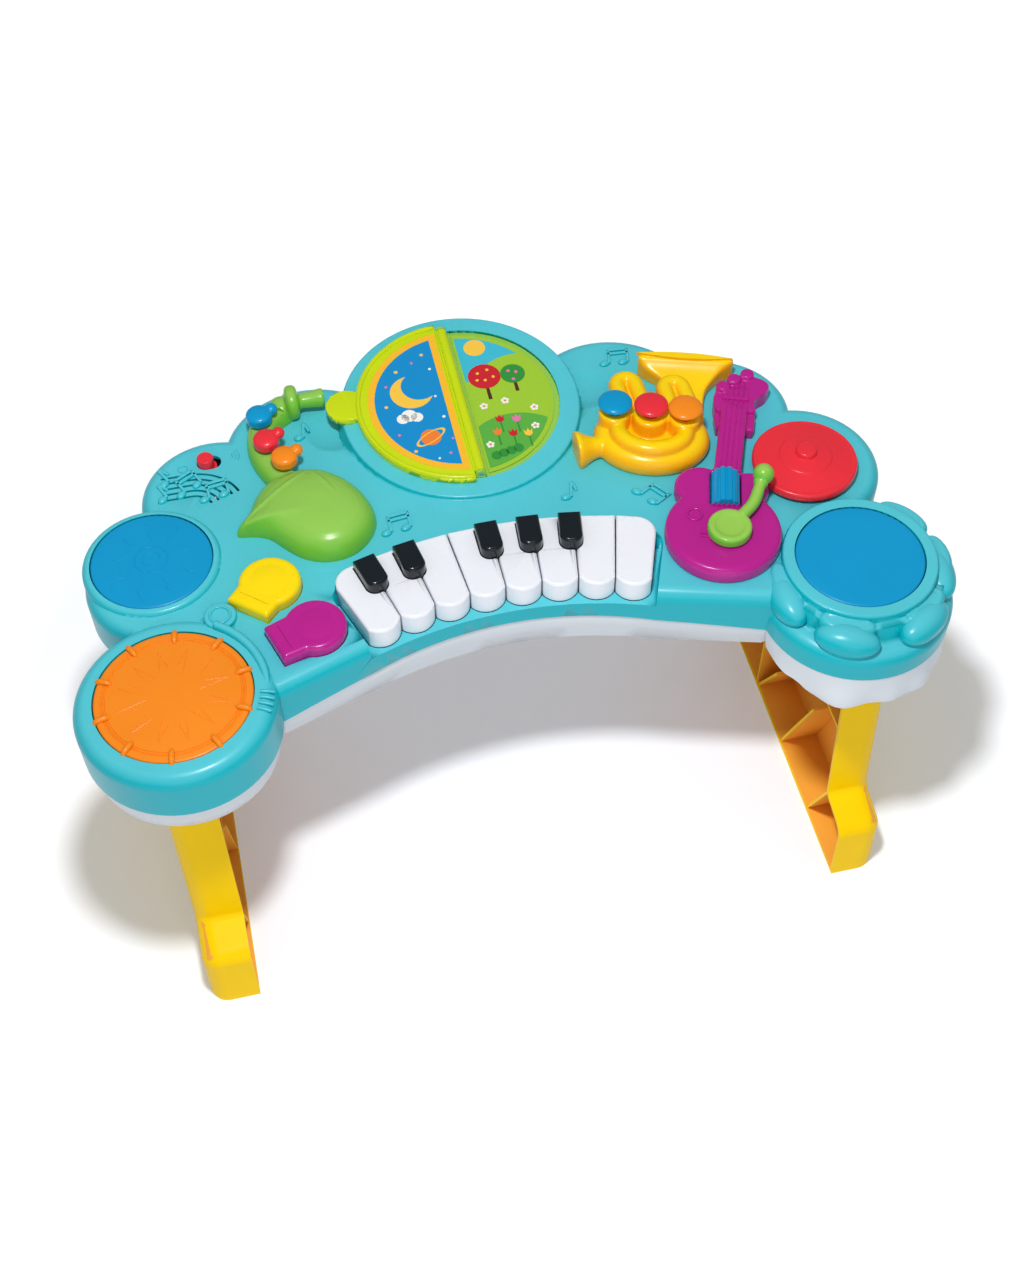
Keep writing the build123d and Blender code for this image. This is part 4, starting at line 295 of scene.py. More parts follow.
def kept_inside(ob, tool):
    """Keeps only what lies in the tool's room."""
    modified(ob, "BOOLEAN", operation="INTERSECT", object=tool, solver="EXACT")
    bpy.data.objects.remove(tool)
    return ob


def trimmed(ob, height):
    """Cuts off all that lies under this height and closes the cut."""
    edit(ob)
    bpy.ops.mesh.bisect(
        plane_co=(0, 0, height), plane_no=(0, 0, 1), use_fill=True, clear_inner=True, clear_outer=False
    )
    rest()
    return ob


def node_copy(*names):
    """Copies of CAD nodes' meshes, joined and merged, to be worked on."""
    copies = []
    for name in names:
        mesh = frame["nodes"][name].data.copy()
        ob = bpy.data.objects.new(name + "_copy", mesh)
        bpy.context.scene.collection.objects.link(ob)
        copies.append(ob)
    ob = joined(*copies) if len(copies) > 1 else copies[0]
    edit(ob)
    bpy.ops.mesh.remove_doubles(threshold=2e-6)
    rest()
    ob.data.materials.clear()
    return ob


def dressed_node(node, name, body, material):
    """Finishes a copy of one CAD node as it is."""
    return dressed(node_copy(node), name, body, material, [node])


def dressed(ob, name, body, material, nodes=(), angle=38):
    """Names a finished piece, smooths its shading, gives it its finish and its body."""
    placed(ob)
    pick(ob)
    bpy.ops.object.shade_smooth_by_angle(angle=radians(angle))
    modified(ob, "WEIGHTED_NORMAL", mode="FACE_AREA", weight=50, keep_sharp=True)
    ob.name = name
    ob.data.name = name
    if material and not ob.data.materials:
        ob.data.materials.append(material)
    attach(ob, body)
    if nodes:
        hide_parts(*nodes)
    return ob


def paint(ob, material, faces=None):
    """Adds a material and gives it to the faces that pass the test, or to all."""
    ob.data.materials.append(material)
    index = len(ob.data.materials) - 1
    for face in ob.data.polygons:
        if faces is None or faces(face.center, face.normal):
            face.material_index = index
    return ob


# ---------------------------------------------------------------- materials
def new_material(name):
    old = bpy.data.materials.get(name)
    if old:
        bpy.data.materials.remove(old)
    material = bpy.data.materials.new(name)
    material.use_nodes = True
    tree = material.node_tree
    shader = tree.nodes["Principled BSDF"]
    place = tree.nodes.new("ShaderNodeTexCoord").outputs["Object"]
    return material, tree, shader, place


def wired(tree, kind, inputs, **settings):
    """Adds a node, sets it and joins its inputs."""
    node = tree.nodes.new(kind)
    for key, value in settings.items():
        setattr(node, key, value)
    for key, value in inputs.items():
        if isinstance(value, bpy.types.NodeSocket):
            tree.links.new(value, node.inputs[key])
        else:
            node.inputs[key].default_value = value
    return node


def shaded(rgb, share):
    """The colour made lighter or darker."""
    return tuple(min(1.0, c * share) for c in rgb[:3]) + (1.0,)


GRAIN_SCALE = 1500
FLOW_REACH = (0.3, 0.7)     # the part of the flow noise that shows


def noise(tree, place, scale, detail, **more):
    return wired(tree, "ShaderNodeTexNoise", {"Vector": place, "Scale": scale, "Detail": detail, **more})


def toned(tree, source, dark, light):
    """Colour that runs from dark to light with the source."""
    tone = wired(tree, "ShaderNodeValToRGB", {"Fac": source.outputs["Fac"]})
    tone.color_ramp.elements[0].color = dark
    tone.color_ramp.elements[1].color = light
    return tone


def worn(tree, shader, source, low, high, reach=(0.0, 1.0)):
    """Roughness that runs from low to high with the source."""
    inputs = {"Value": source.outputs["Fac"], "To Min": low, "To Max": high}
    wear = wired(tree, "ShaderNodeMapRange", {**inputs, "From Min": reach[0], "From Max": reach[1]})
    tree.links.new(wear.outputs["Result"], shader.inputs["Roughness"])


def bumped(tree, shader, source, distance, strength):
    """Fine relief in the shading, from the source."""
    inputs = {"Height": source.outputs["Fac"], "Distance": distance, "Strength": strength}
    bump = wired(tree, "ShaderNodeBump", inputs)
    tree.links.new(bump.outputs["Normal"], shader.inputs["Normal"])


def moulded(name, rgb, rough=0.3, grain=0.00003, mottle=0.05, coat=0.25, soft=0.0, side=None, gloss=0.32):
    """Injection-moulded plastic: slight flow mottling, satin grain and a polished skin; a side tone, when
    given, is painted shade on faces turned away from straight up.
    """
    material, tree, shader, place = new_material(name)
    flow = noise(tree, place, 14.0, 3.0, Roughness=0.55)
    tone = toned(tree, flow, shaded(rgb, 1 - mottle), shaded(rgb, 1 + mottle * 0.6))
    for stop, position in zip(tone.color_ramp.elements, FLOW_REACH):
        stop.position = position
    if side:      # painted shade: faces turned away from straight up get the darker side tone in place of their shading
        geometry = tree.nodes.new("ShaderNodeNewGeometry")
        normal = wired(tree, "ShaderNodeSeparateXYZ", {"Vector": geometry.outputs["Normal"]})
        upward = {"Value": normal.outputs["Z"], "From Min": 0.5, "From Max": 0.99}
        painted_light_share = wired(tree, "ShaderNodeMapRange", upward)
        tones = {0: painted_light_share.outputs["Result"], 6: shaded(side, 1.0), 7: tone.outputs["Color"]}
        tone = wired(tree, "ShaderNodeMix", tones, data_type="RGBA")
        tree.links.new(tone.outputs[2], shader.inputs["Base Color"])
    else:
        tree.links.new(tone.outputs["Color"], shader.inputs["Base Color"])
    fine = noise(tree, place, GRAIN_SCALE, 4.0)
    worn(tree, shader, flow, rough - 0.04, rough + 0.05, FLOW_REACH)
    bumped(tree, shader, fine, grain, 0.6)
    shader.inputs["Coat Weight"].default_value = coat * 0.35
    shader.inputs["Coat Roughness"].default_value = 0.18
    shader.inputs["Specular IOR Level"].default_value = gloss
    shader.inputs["IOR"].default_value = 1.48
    if soft:
        shader.inputs["Subsurface Weight"].default_value = soft
        shader.inputs["Subsurface Radius"].default_value = (0.004, 0.003, 0.002)
    return material


def metal(name, rgb, rough=0.3, scale=(40, 900, 900)):
    """Drawn or turned steel: fine streaks along the piece."""
    material, tree, shader, place = new_material(name)
    along = wired(tree, "ShaderNodeMapping", {"Vector": place, "Scale": scale})
    streak = noise(tree, along.outputs["Vector"], 3.0, 5.0)
    tone = toned(tree, streak, shaded(rgb, 0.82), shaded(rgb, 1.1))
    tree.links.new(tone.outputs["Color"], shader.inputs["Base Color"])
    worn(tree, shader, streak, rough - 0.08, rough + 0.12)
    bumped(tree, shader, streak, 0.00002, 0.4)
    shader.inputs["Metallic"].default_value = 1.0
    return material


def circuit(name, rgb):
    """Green circuit board with paler copper tracks under its lacquer."""
    material, tree, shader, place = new_material(name)
    tracks = wired(tree, "ShaderNodeTexBrick", {"Vector": place, "Scale": 90.0, "Mortar Size": 0.03})
    for part, share in (("Color1", 1.0), ("Color2", 0.8), ("Mortar", 2.2)):
        tracks.inputs[part].default_value = shaded(rgb, share)
    tree.links.new(tracks.outputs["Color"], shader.inputs["Base Color"])
    bumped(tree, shader, tracks, 0.00005, 0.5)
    shader.inputs["Roughness"].default_value = 0.32
    shader.inputs["Coat Weight"].default_value = 0.4
    return material


def print_ink(name, rgb, rough=0.34):
    """Ink on a glossy paper label: faint fibre mottling under the varnish."""
    material, tree, shader, place = new_material(name)
    fibre = noise(tree, place, 320.0, 6.0, Roughness=0.7)
    tone = toned(tree, fibre, shaded(rgb, 0.94), shaded(rgb, 1.04))
    tree.links.new(tone.outputs["Color"], shader.inputs["Base Color"])
    worn(tree, shader, fibre, rough - 0.05, rough + 0.05)
    bumped(tree, shader, fibre, 0.00001, 0.3)
    shader.inputs["Coat Weight"].default_value = 0.2
    return material


# ---------------------------------------------------------------- top shell
def relief_note(x, y, turn, kind, size, base=DECK):
    """A plain music note standing in low relief: one stem with a flag, or a pair under a beam."""
    head, stem, rise = size.note_head, size.note_stem, size.note_height
    thick = head * 0.5
    top = base + rise
    places = [(-head * 1.7, 0), (head * 1.7, head * 0.35)] if kind == "pair" else [(0, 0)]
    parts = []
    tips = []
    for hx, hy in places:
        parts.append(ball(hx, hy, base, head, head * 0.74, rise * 1.35, turn=0.4, rings=12))
        sx = hx + head * 0.86
        parts.append(bar((sx, hy), (sx, hy + stem), thick, base - 0.0004, top))
        tips.append((sx, hy + stem))
    if kind == "pair":
        (ax, ay), (bx, by) = tips
        for drop in (0.0, head * 0.95):
            a, b = (ax - thick / 2, ay - drop), (bx + thick / 2, by - drop)
            parts.append(bar(a, b, thick * 1.15, base - 0.0004, top))
    else:
        tx, ty = tips[0]
        flag = [
            (tx, ty, base), (tx + head * 0.7, ty - head * 0.8, base), (tx + head * 0.9, ty - head * 1.9, base)
        ]
        parts.append(tube(flag, rise, radii=(1.0, 1.1, 0.6), sides=3))
    note = joined(*parts)
    note.matrix_world = Matrix.Translation((x, y, 0)) @ Matrix.Rotation(turn, 4, "Z")
    return placed(note)


NOTES = (      # place in plan, turn in degrees, kind
    (50.5, 2.5, -12, "single"),
    (-62.0, -1.0, 2, "pair"),
    (-110.5, 95.0, -5, "single"),
    (99.5, -9.0, -60, "pair"),
    (113.0, 116.0, -10, "pair"),
    (213.0, -56.0, -8, "pair"),
)
STAFF_NOTES = (
    (-202.5, 73.5, 28, "single"), (-187.0, 64.5, 26, "pair"), (-205.0, 60.0, 24, "single"),
    (-172.0, 54.5, 4, "pair")
)


class MUSIC_OT_shell(bpy.types.Operator):
    """Turquoise top shell with its notes, cymbal rod, hub ring and switch signs"""

    bl_idname = "music.shell"
    bl_label = "Top shell"

    def execute(self, context):
        colours, sizes = context.scene.table_colours, context.scene.table_sizes
        # The shell's walls get painted shade from the darker side tone.
        plastic = moulded(
            "shell_turquoise", colours.shell, rough=0.3, grain=0.00002, coat=0.3, side=colours.shell_painted_shade
        )
        shell = node_copy("top_shell")
        parts = []
        for x, y, turn, kind in NOTES + STAFF_NOTES:
            parts.append(relief_note(x * MM, y * MM, radians(turn), kind, sizes))
        parts.append(ring(*HUB, 0.0062, 0.0009, DECK + 0.004))
        parts += self.rod()
        parts += self.signs()
        parts += self.crescents()
        shell = joined(shell, *parts)
        dressed(shell, "shell", TABLE, plastic, ["top_shell"])
        return {"FINISHED"}

    def crescents(self):
        """Soft mounds of the tambourine's jingles, cut off round its rim."""
        centre = Vector(TAMBOURINE)
        mounds = []
        for turn in JINGLES:
            a = radians(turn)
            place = centre + Vector((cos(a), sin(a))) * 0.0500
            mound = ball(place.x, place.y, 0.2335, 0.0112, 0.0206, 0.0098, turn=a, rings=40)
            inner = ball(place.x, place.y, 0.2300, 0.0094, 0.0184, 0.0121, turn=a, rings=40)
            mound = fused(joined(mound, inner), 0.0008, passes=10)
            mounds.append(kept_inside(mound, ring_room(centre, 0.0400, 0.0608, 0.2240, 0.2450)))
        return mounds

    def rod(self):
        """Rod in relief that runs from the hub round the orange drum and ends in four ribs."""
        centre, reach = Vector(ORANGE_DRUM), 0.0556
        points = []
        for step in range(9):
            a = radians(57 - step * 7.5)
            points.append((centre.x + reach * cos(a), centre.y + reach * sin(a), 0.2436 - 0.0003 * step))
        rod = tube(points, 0.0030, radii=(1, 1, 1, 1, 1, 1, 1, 0.9, 0.4))
        ribs = []
        for step in range(4):
            a = radians(-10 - step * 4.4)
            mid = centre + Vector((cos(a), sin(a))) * reach
            across = Vector((cos(a), sin(a))) * 0.0042
            rib = [(*(mid - across), 0.2433), (*mid, 0.2434), (*(mid + across), 0.2418)]
            ribs.append(tube(rib, 0.0012, sides=3))
        return [rod] + ribs

    def signs(self):
        """Off ring and loudness arcs beside the switch."""
        x, y = LOUDNESS_SIGN
        signs = [ring(*SWITCH_SIGN, 0.0030, SIGN_LINE, DECK)]
        for reach in (0.0030, 0.0052, 0.0074):
            points = []
            for step in range(5):
                a = radians(-38 + step * 19)
                points.append((x + reach * cos(a), y + reach * sin(a), DECK))
            signs.append(tube(points, SIGN_LINE, sides=3))
        return signs


def ring_room(centre, inner, outer, low, high):
    """Upright ring of room between two radii, to keep a mound inside."""
    room = drum(centre.x, centre.y, outer, low, high, sides=160)
    return cut_away(room, drum(centre.x, centre.y, inner, low - 0.001, high + 0.001, sides=160))


def ring(x, y, radius, thick, z):
    bpy.ops.mesh.primitive_torus_add(
        major_radius=radius, minor_radius=thick, major_segments=64, minor_segments=12, location=(x, y, z)
    )
    return placed(bpy.context.object)


# ---------------------------------------------------------------- base and what hides in it
SKIRT_LOW = 0.1840          # lower edge of the tray's skirt under the tambourine
SKIRT_TOP = 0.2088
SKIRT_INNER = 0.0560
SKIRT_RINGS = (             # radius, height
    (0.0572, SKIRT_LOW), (0.0582, 0.1848), (0.0586, 0.1860), (0.0590, 0.1900), (0.0596, 0.1950),
    (0.0602, 0.2000), (0.0605, 0.2040), (0.0606, SKIRT_TOP), (SKIRT_INNER, SKIRT_TOP),
    (SKIRT_INNER, SKIRT_LOW),
)
SCALLOPS = (                # turn in degrees, reach in millimetres, half width in degrees
    (-114, 6.5, 13), (-84, 3.2, 9), (-62, 4.6, 11), (-150, 2.6, 12), (-38, 2.4, 9),
)
FADE = 2.718                # how steeply a scallop fades to its sides


class MUSIC_OT_base(bpy.types.Operator):
    """Pale tray under the shell with its scalloped tip, and its door"""

    bl_idname = "music.base"
    bl_label = "Base"

    def execute(self, context):
        colours = context.scene.table_colours
        plastic = moulded("base_grey", colours.base, rough=0.42, grain=0.00004, coat=0.1, mottle=0.03)
        base = node_copy("bottom_base")
        base = joined(base, self.skirt())
        dressed(base, "tray", TABLE, plastic, ["bottom_base"])
        dressed_node("battery_door", "door", TABLE, plastic)
        return {"FINISHED"}

    def skirt(self):
        """Scalloped skirt of the tray under the tambourine, an open half ring."""
        x, y = TAMBOURINE
        bpy.ops.mesh.primitive_circle_add(
            vertices=192, radius=SKIRT_INNER, fill_type="NOTHING", location=(x, y, SKIRT_LOW)
        )
        ob = placed(bpy.context.object)
        edit(ob)
        bpy.ops.mesh.select_mode(type="EDGE")
        bpy.ops.mesh.select_all(action="SELECT")
        built_up((x, y), (SKIRT_INNER, SKIRT_LOW), SKIRT_RINGS)
        bpy.ops.mesh.remove_doubles(threshold=1e-5)
        rest()
        for vertex in ob.data.vertices:
            away = Vector((vertex.co.x - x, vertex.co.y - y))
            turn = degrees(atan2(away.y, away.x))
            low = min(1.0, max(0.0, (SKIRT_TOP - vertex.co.z) / 0.0200))
            if away.length > 0.0570 and turn < 0:
                flare = 1.5 * sin(radians(-turn)) * low
                for at, reach, half in SCALLOPS:
                    flare += reach * low * low * FADE ** (-(((turn - at) / half) ** 2))
                away = away.normalized() * flare * MM
                vertex.co.x += away.x
                vertex.co.y += away.y
            # the skirt is shorter where the folded leg passes behind it
            behind = min(1.0, max(0.0, (vertex.co.y + 0.1470) / 0.0110))
            floor = SKIRT_LOW + 0.0074 * behind * behind * (3 - 2 * behind)
            vertex.co.z = max(vertex.co.z, floor)
        edit(ob)
        bpy.ops.mesh.bisect(plane_co=(x, y - 0.0080, 0), plane_no=(0, 1, 0), use_fill=True, clear_outer=True)
        turned_out()
        return ob


INNER = {       # finish of each fixed or hidden node that keeps its own mesh
    "battery_cells": "cell_jacket",
    "battery_contacts": "contact_spring",
    "main_board": "board_lacquer",
    "key_board": "board_lacquer",
    "pad_switches": "board_lacquer",
    "sax_key_board": "board_lacquer",
    "valve_board": "board_lacquer",
    "key_domes": "dome_silicone",
    "key_rail": "inner_white",
    "slide_switch": "inner_black",
    "speaker": "inner_black",
    "speaker_ring": "inner_white",
    "case_screws": "screw_zinc",
    "door_screw": "screw_zinc",
    "lever_screw": "screw_zinc",
    "key_pins": "pin_steel",
    "page_pin": "pin_steel",
    "roller_axle": "pin_steel",
    "left_leg_pins": "pin_steel",
    "right_leg_pins": "pin_steel",
}


class MUSIC_OT_inner(bpy.types.Operator):
    """Finishes of the works inside: cells, boards, loudspeaker, pins and screws"""

    bl_idname = "music.inner"
    bl_label = "Inner works"

    def execute(self, context):
        made = {
            "cell_jacket": moulded("cell_jacket", linear(52, 58, 70), rough=0.22, coat=0.5),
            "contact_spring": metal("contact_spring", linear(205, 205, 210), rough=0.28),
            "board_lacquer": circuit("board_lacquer", linear(24, 110, 66)),
            "dome_silicone": moulded("dome_silicone", linear(205, 205, 212), rough=0.5, coat=0.0, soft=0.2),
            "inner_white": moulded("inner_white", linear(228, 228, 230), rough=0.45, coat=0.0),
            "inner_black": moulded("inner_black", linear(30, 31, 34), rough=0.4, coat=0.1),
            "screw_zinc": metal("screw_zinc", linear(196, 198, 205), rough=0.3, scale=(700, 700, 60)),
            "pin_steel": metal("pin_steel", linear(188, 190, 196), rough=0.24),
        }
        for node, finish in INNER.items():
            ob = frame["nodes"][node]
            ob.data.materials.clear()
            ob.data.materials.append(made[finish])
        return {"FINISHED"}


# ---------------------------------------------------------------- legs
LEG_SIDE = ((-179.5, 0.0), (62.5, 0.0), (38.0, 190.7), (-132.5, 190.7), (-148.0, 57.5), (-176.8, 51.0))


def from_outline(y, z):
    """Distance of a point from the leg's outline in side view, in millimetres."""
    least = 1e9
    for (ay, az), (by, bz) in zip(LEG_SIDE, LEG_SIDE[1:] + LEG_SIDE[:1]):
        run = ((y - ay) * (by - ay) + (z - az) * (bz - az)) / ((by - ay) ** 2 + (bz - az) ** 2)
        along = max(0.0, min(1.0, run))
        least = min(least, hypot(y - ay - along * (by - ay), z - az - along * (bz - az)))
    return least


class MUSIC_OT_legs(bpy.types.Operator):
    """Two yellow folding legs, ribbed inside, with painted shade on their inner faces"""

    bl_idname = "music.legs"
    bl_label = "Legs"

    def execute(self, context):
        colours = context.scene.table_colours
        skin = moulded("leg_yellow", colours.legs, rough=0.4, grain=0.00003, coat=0.0, gloss=0.1)
        # Painted shade: the faces inside the hollow legs get a deeper orange in place of the shade that falls
        # there.
        inside = moulded("leg_inside", colours.leg_inside, rough=0.5, grain=0.00003, coat=0.0, mottle=0.08)
        for side in ("left", "right"):
            leg = node_copy(f"{side}_leg")
            modified(leg, "BEVEL", width=0.0005, segments=2, limit_method="ANGLE", angle_limit=radians(50))
            paint(leg, skin)
            paint(leg, inside, self.in_painted_shade)
            dressed(leg, f"leg_{side}", f"{side}_leg_body", None, [f"{side}_leg"], angle=30)
        return {"FINISHED"}

    # Faces inside the hollow leg, which take the painted shade.
    @staticmethod
    def in_painted_shade(centre, normal):
        x, y, z = abs(centre.x) / MM, centre.y / MM, centre.z / MM
        depth = from_outline(y, z)
        away = Vector((0, y + 50, z - 95)).normalized()
        outer = depth < 6 and normal.dot(away) > 0.3
        return 205.4 < x < 232.3 and z < 189 and depth > 1.4 and not outer


# ---------------------------------------------------------------- keyboard
class MUSIC_OT_keys(bpy.types.Operator):
    """Eight white keys and the five black ones between them"""

    bl_idname = "music.keys"
    bl_label = "Keyboard"

    def execute(self, context):
        colours = context.scene.table_colours
        white = moulded(
            "key_white", colours.white_key, rough=0.26, grain=0.000012, coat=0.4, mottle=0.015, soft=0.05
        )
        black = moulded("key_black", colours.black_key, rough=0.2, grain=0.00001, coat=0.5, mottle=0.1)
        for index in range(1, 9):
            dressed_node(f"white_key_{index}", f"key_{index}", f"key_{index}", white)
        dressed_node("black_keys", "keys_black", TABLE, black)
        return {"FINISHED"}


# ---------------------------------------------------------------- drums and cymbal
def dome(radius, low, rise, share):
    """Height of a shallow dome at this share of its radius."""
    return low + rise * (1 - (share / radius) ** 2)


def skin(x, y, radius, top, rise, grooves=()):
    """Drum skin: soft rim, an optional ring groove and a shallow dome."""
    rings = [
        (radius - 0.003, top - 0.012), (radius, top - 0.012), (radius, top - 0.0013),
        (radius - 0.0003, top - 0.0006)
    ]
    rings += [(radius - 0.0008, top - 0.0001), (radius - 0.0016, top + 0.0001)]
    for groove in grooves:
        z = dome(radius, top, rise, groove)
        rings += [
            (groove + 0.0007, z), (groove + 0.0003, z - 0.0006), (groove - 0.0003, z - 0.0006),
            (groove - 0.0007, z + 0.00005)
        ]
    start = rings[-1][0]
    for step in range(1, 9):
        r = start * (1 - step / 8.4)
        rings.append((r, dome(radius, top, rise, r)))
    return stacked(x, y, rings)


class MUSIC_OT_drums(bpy.types.Operator):
    """Orange drum, two blue drums and the red cymbal"""

    bl_idname = "music.drums"
    bl_label = "Drums and cymbal"

    def execute(self, context):
        colours = context.scene.table_colours
        orange = moulded("drum_orange", colours.orange, rough=0.33, grain=0.00003, coat=0.2)
        blue = moulded("drum_blue", colours.blue, rough=0.36, grain=0.00003, coat=0.15)
        red = moulded("cymbal_red", colours.red, rough=0.28, grain=0.00002, coat=0.3)
        dressed(
            self.orange(context.scene.table_sizes), "drum_orange", "orange_drum", orange,
            ["orange_drum_pad"]
        )
        dressed(self.left_blue(), "drum_blue", "left_blue_drum", blue, ["left_blue_drum_pad"])
        right = skin(0.2162, -0.0923, 0.0406, 0.246, 0.0012)
        dressed(right, "drum_tambourine", "tambourine", blue, ["tambourine_pad"])
        dressed(self.cymbal(), "cymbal", "cymbal", red, ["cymbal_pad"])
        return {"FINISHED"}

    def orange(self, sizes):
        x, y = ORANGE_DRUM
        radius, top, rise = 0.0475, HOUSING, 0.0014
        pad = skin(x, y, radius, top, rise, grooves=(0.0425, 0.0408))
        parts = [pad]
        for index in range(10):
            a = radians(index * 36 + 83)
            reach = [
                (0.0385, 0.0002), (0.0402, 0.0012), (0.0440, 0.0013), (0.0470, 0.0007), (0.0480, -0.0012)
            ]
            points = [(x + r * cos(a), y + r * sin(a), top + up) for r, up in reach]
            parts.append(tube(points, sizes.drum_bar, radii=(0.5, 1, 1.05, 1.05, 0.9), sides=4))
        for index in range(12):
            a, b = radians(index * 30 + 2), radians(index * 30 + 17)
            corners = ((0.0205 if index % 2 else 0.016, a), (0.0345, (a + b) / 2), (0.0205, b))
            points = [(x + r * cos(t), y + r * sin(t), dome(radius, top, rise, r)) for r, t in corners]
            for start, end in zip(points, points[1:]):
                middle = tuple((p + q) / 2 for p, q in zip(start, end))
                parts.append(tube([start, middle, end], 0.00042, radii=(0.6, 1, 0.6), sides=2))
        return joined(*parts)

    def left_blue(self):
        x, y, radius, top, rise = -0.217, 0.008, 0.0384, HOUSING, 0.0014
        parts = [skin(x, y, radius, top, rise)]
        for reach in (0.0055, 0.0105):
            parts.append(ring(x, y, reach, 0.00025, dome(radius, top, rise, reach)))
        for index in range(9):
            a = radians(index * 40)
            points = []
            for r, lean in ((0.0145, 0.0), (0.021, 0.22), (0.0275, 0.05), (0.0335, 0.3)):
                points.append((x + r * cos(a + lean), y + r * sin(a + lean), dome(radius, top, rise, r)))
            parts.append(tube(points, 0.00026, radii=(0.5, 1, 1, 0.5), sides=2))
        return joined(*parts)

    def cymbal(self):
        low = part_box("cymbal_pad")[0].z
        rings = [
            (0.0290, low + 0.006), (0.0299, low + 0.0065), (0.0299, 0.2433), (0.0338, 0.2434),
            (0.0344, 0.2440), (0.0345, 0.2464), (0.0341, 0.2477), (0.0334, 0.2484), (0.0324, 0.2487),
            (0.0316, 0.2484), (0.0308, 0.2484), (0.0230, 0.2499), (0.0176, 0.2509), (0.0171, 0.2516),
            (0.0164, 0.2520), (0.0150, 0.2521), (0.0110, 0.2528), (0.0078, 0.2532), (0.0071, 0.2536),
            (0.0068, 0.2546), (0.0067, 0.2560), (0.0061, 0.2568), (0.0050, 0.2571), (0.0010, 0.2572),
        ]
        return stacked(0.209, -0.0065, rings)


# ---------------------------------------------------------------- castanets
class MUSIC_OT_castanets(bpy.types.Operator):
    """Yellow and purple castanet buttons with softly domed tops"""

    bl_idname = "music.castanets"
    bl_label = "Castanets"

    def execute(self, context):
        colours = context.scene.table_colours
        places = {
            "yellow": ((-0.1470, -0.0284), (-0.1745, -0.0365), (-0.1523, -0.0560)),
            "purple": ((-0.1250, -0.0686), (-0.1557, -0.0635), (-0.1469, -0.0909)),
        }
        for name, ((x, y), tail_a, tail_b) in places.items():
            button = node_copy(f"{name}_castanet")
            toward = Vector(((tail_a[0] + tail_b[0]) / 2 - x, (tail_a[1] + tail_b[1]) / 2 - y)).normalized()
            across = Vector((tail_b[0] - tail_a[0], tail_b[1] - tail_a[1]))
            cap = ball(x, y, 0.2440, 0.0188, 0.0188, 0.0052)
            button = fused(joined(button, cap), 0.00055, passes=12)
            a = Vector(tail_a) + across * 0.16 - toward * 0.0075
            b = Vector(tail_b) - across * 0.16 - toward * 0.0075
            line = bar(a, b, 0.0006, 0.2472, 0.2490, edge=0.0001)
            cut_away(button, line)
            slot = f"castanet_{name}"
            finish = moulded(slot, getattr(colours, name), rough=0.24, grain=0.00001, coat=0.5)
            dressed(button, slot, f"{name}_castanet_button", finish, [f"{name}_castanet"])
        return {"FINISHED"}


# ---------------------------------------------------------------- saxophone
SAX_KEYS = {"orange": (-0.1232, 0.0640), "red": (-0.1326, 0.0820), "blue": (-0.1342, 0.1050)}
BULB_RINGS = (      # share of the outline, height
    (1.0, 0.2420), (0.985, 0.2450), (0.95, 0.2482), (0.89, 0.2512), (0.80, 0.2539), (0.68, 0.2560),
    (0.54, 0.2574), (0.38, 0.2583), (0.2, 0.2588),
)
SAX_OUTLINE = (
    (-162.0, 18.0), (-153.0, 31.0), (-146.5, 44.0), (-138.0, 54.0), (-124.0, 60.0), (-108.0, 60.0),
    (-96.0, 54.0), (-84.0, 42.0), (-75.5, 26.0), (-73.0, 10.0), (-79.0, -4.0), (-92.0, -14.5),
    (-108.5, -16.5), (-123.0, -10.5), (-133.0, -0.5), (-142.0, 10.5), (-152.0, 15.0),
)


def smooth_loop(points, steps=6):
    """Closed smooth line through the points, given in millimetres."""
    loop = []
    count = len(points)
    for index in range(count):
        a, b, c, d = (Vector(points[(index + k) % count]) for k in (-1, 0, 1, 2))
        bend, twist = a * 2 - b * 5 + c * 4 - d, b * 3 - a - c * 3 + d
        for step in range(steps):
            t = step / steps
            p = b * 2 + (c - a) * t + bend * t * t + twist * t * t * t
            loop.append(p * 0.5 * MM)
    return loop


def outline_plate(points, z):
    """Flat face with this outline."""
    bpy.ops.mesh.primitive_circle_add(vertices=len(points), radius=0.01, fill_type="NGON")
    ob = bpy.context.object
    for vertex, (x, y) in zip(ob.data.vertices, points):
        vertex.co = (x, y, z)
    return ob


def piled(ob, centre, rings):
    """Builds a flat face up ring by ring: each ring is a share of the first outline and a height."""
    first = (1.0, ob.data.vertices[0].co.z)
    edit(ob)
    built_up(centre, first, rings)
    turned_out()
    return ob


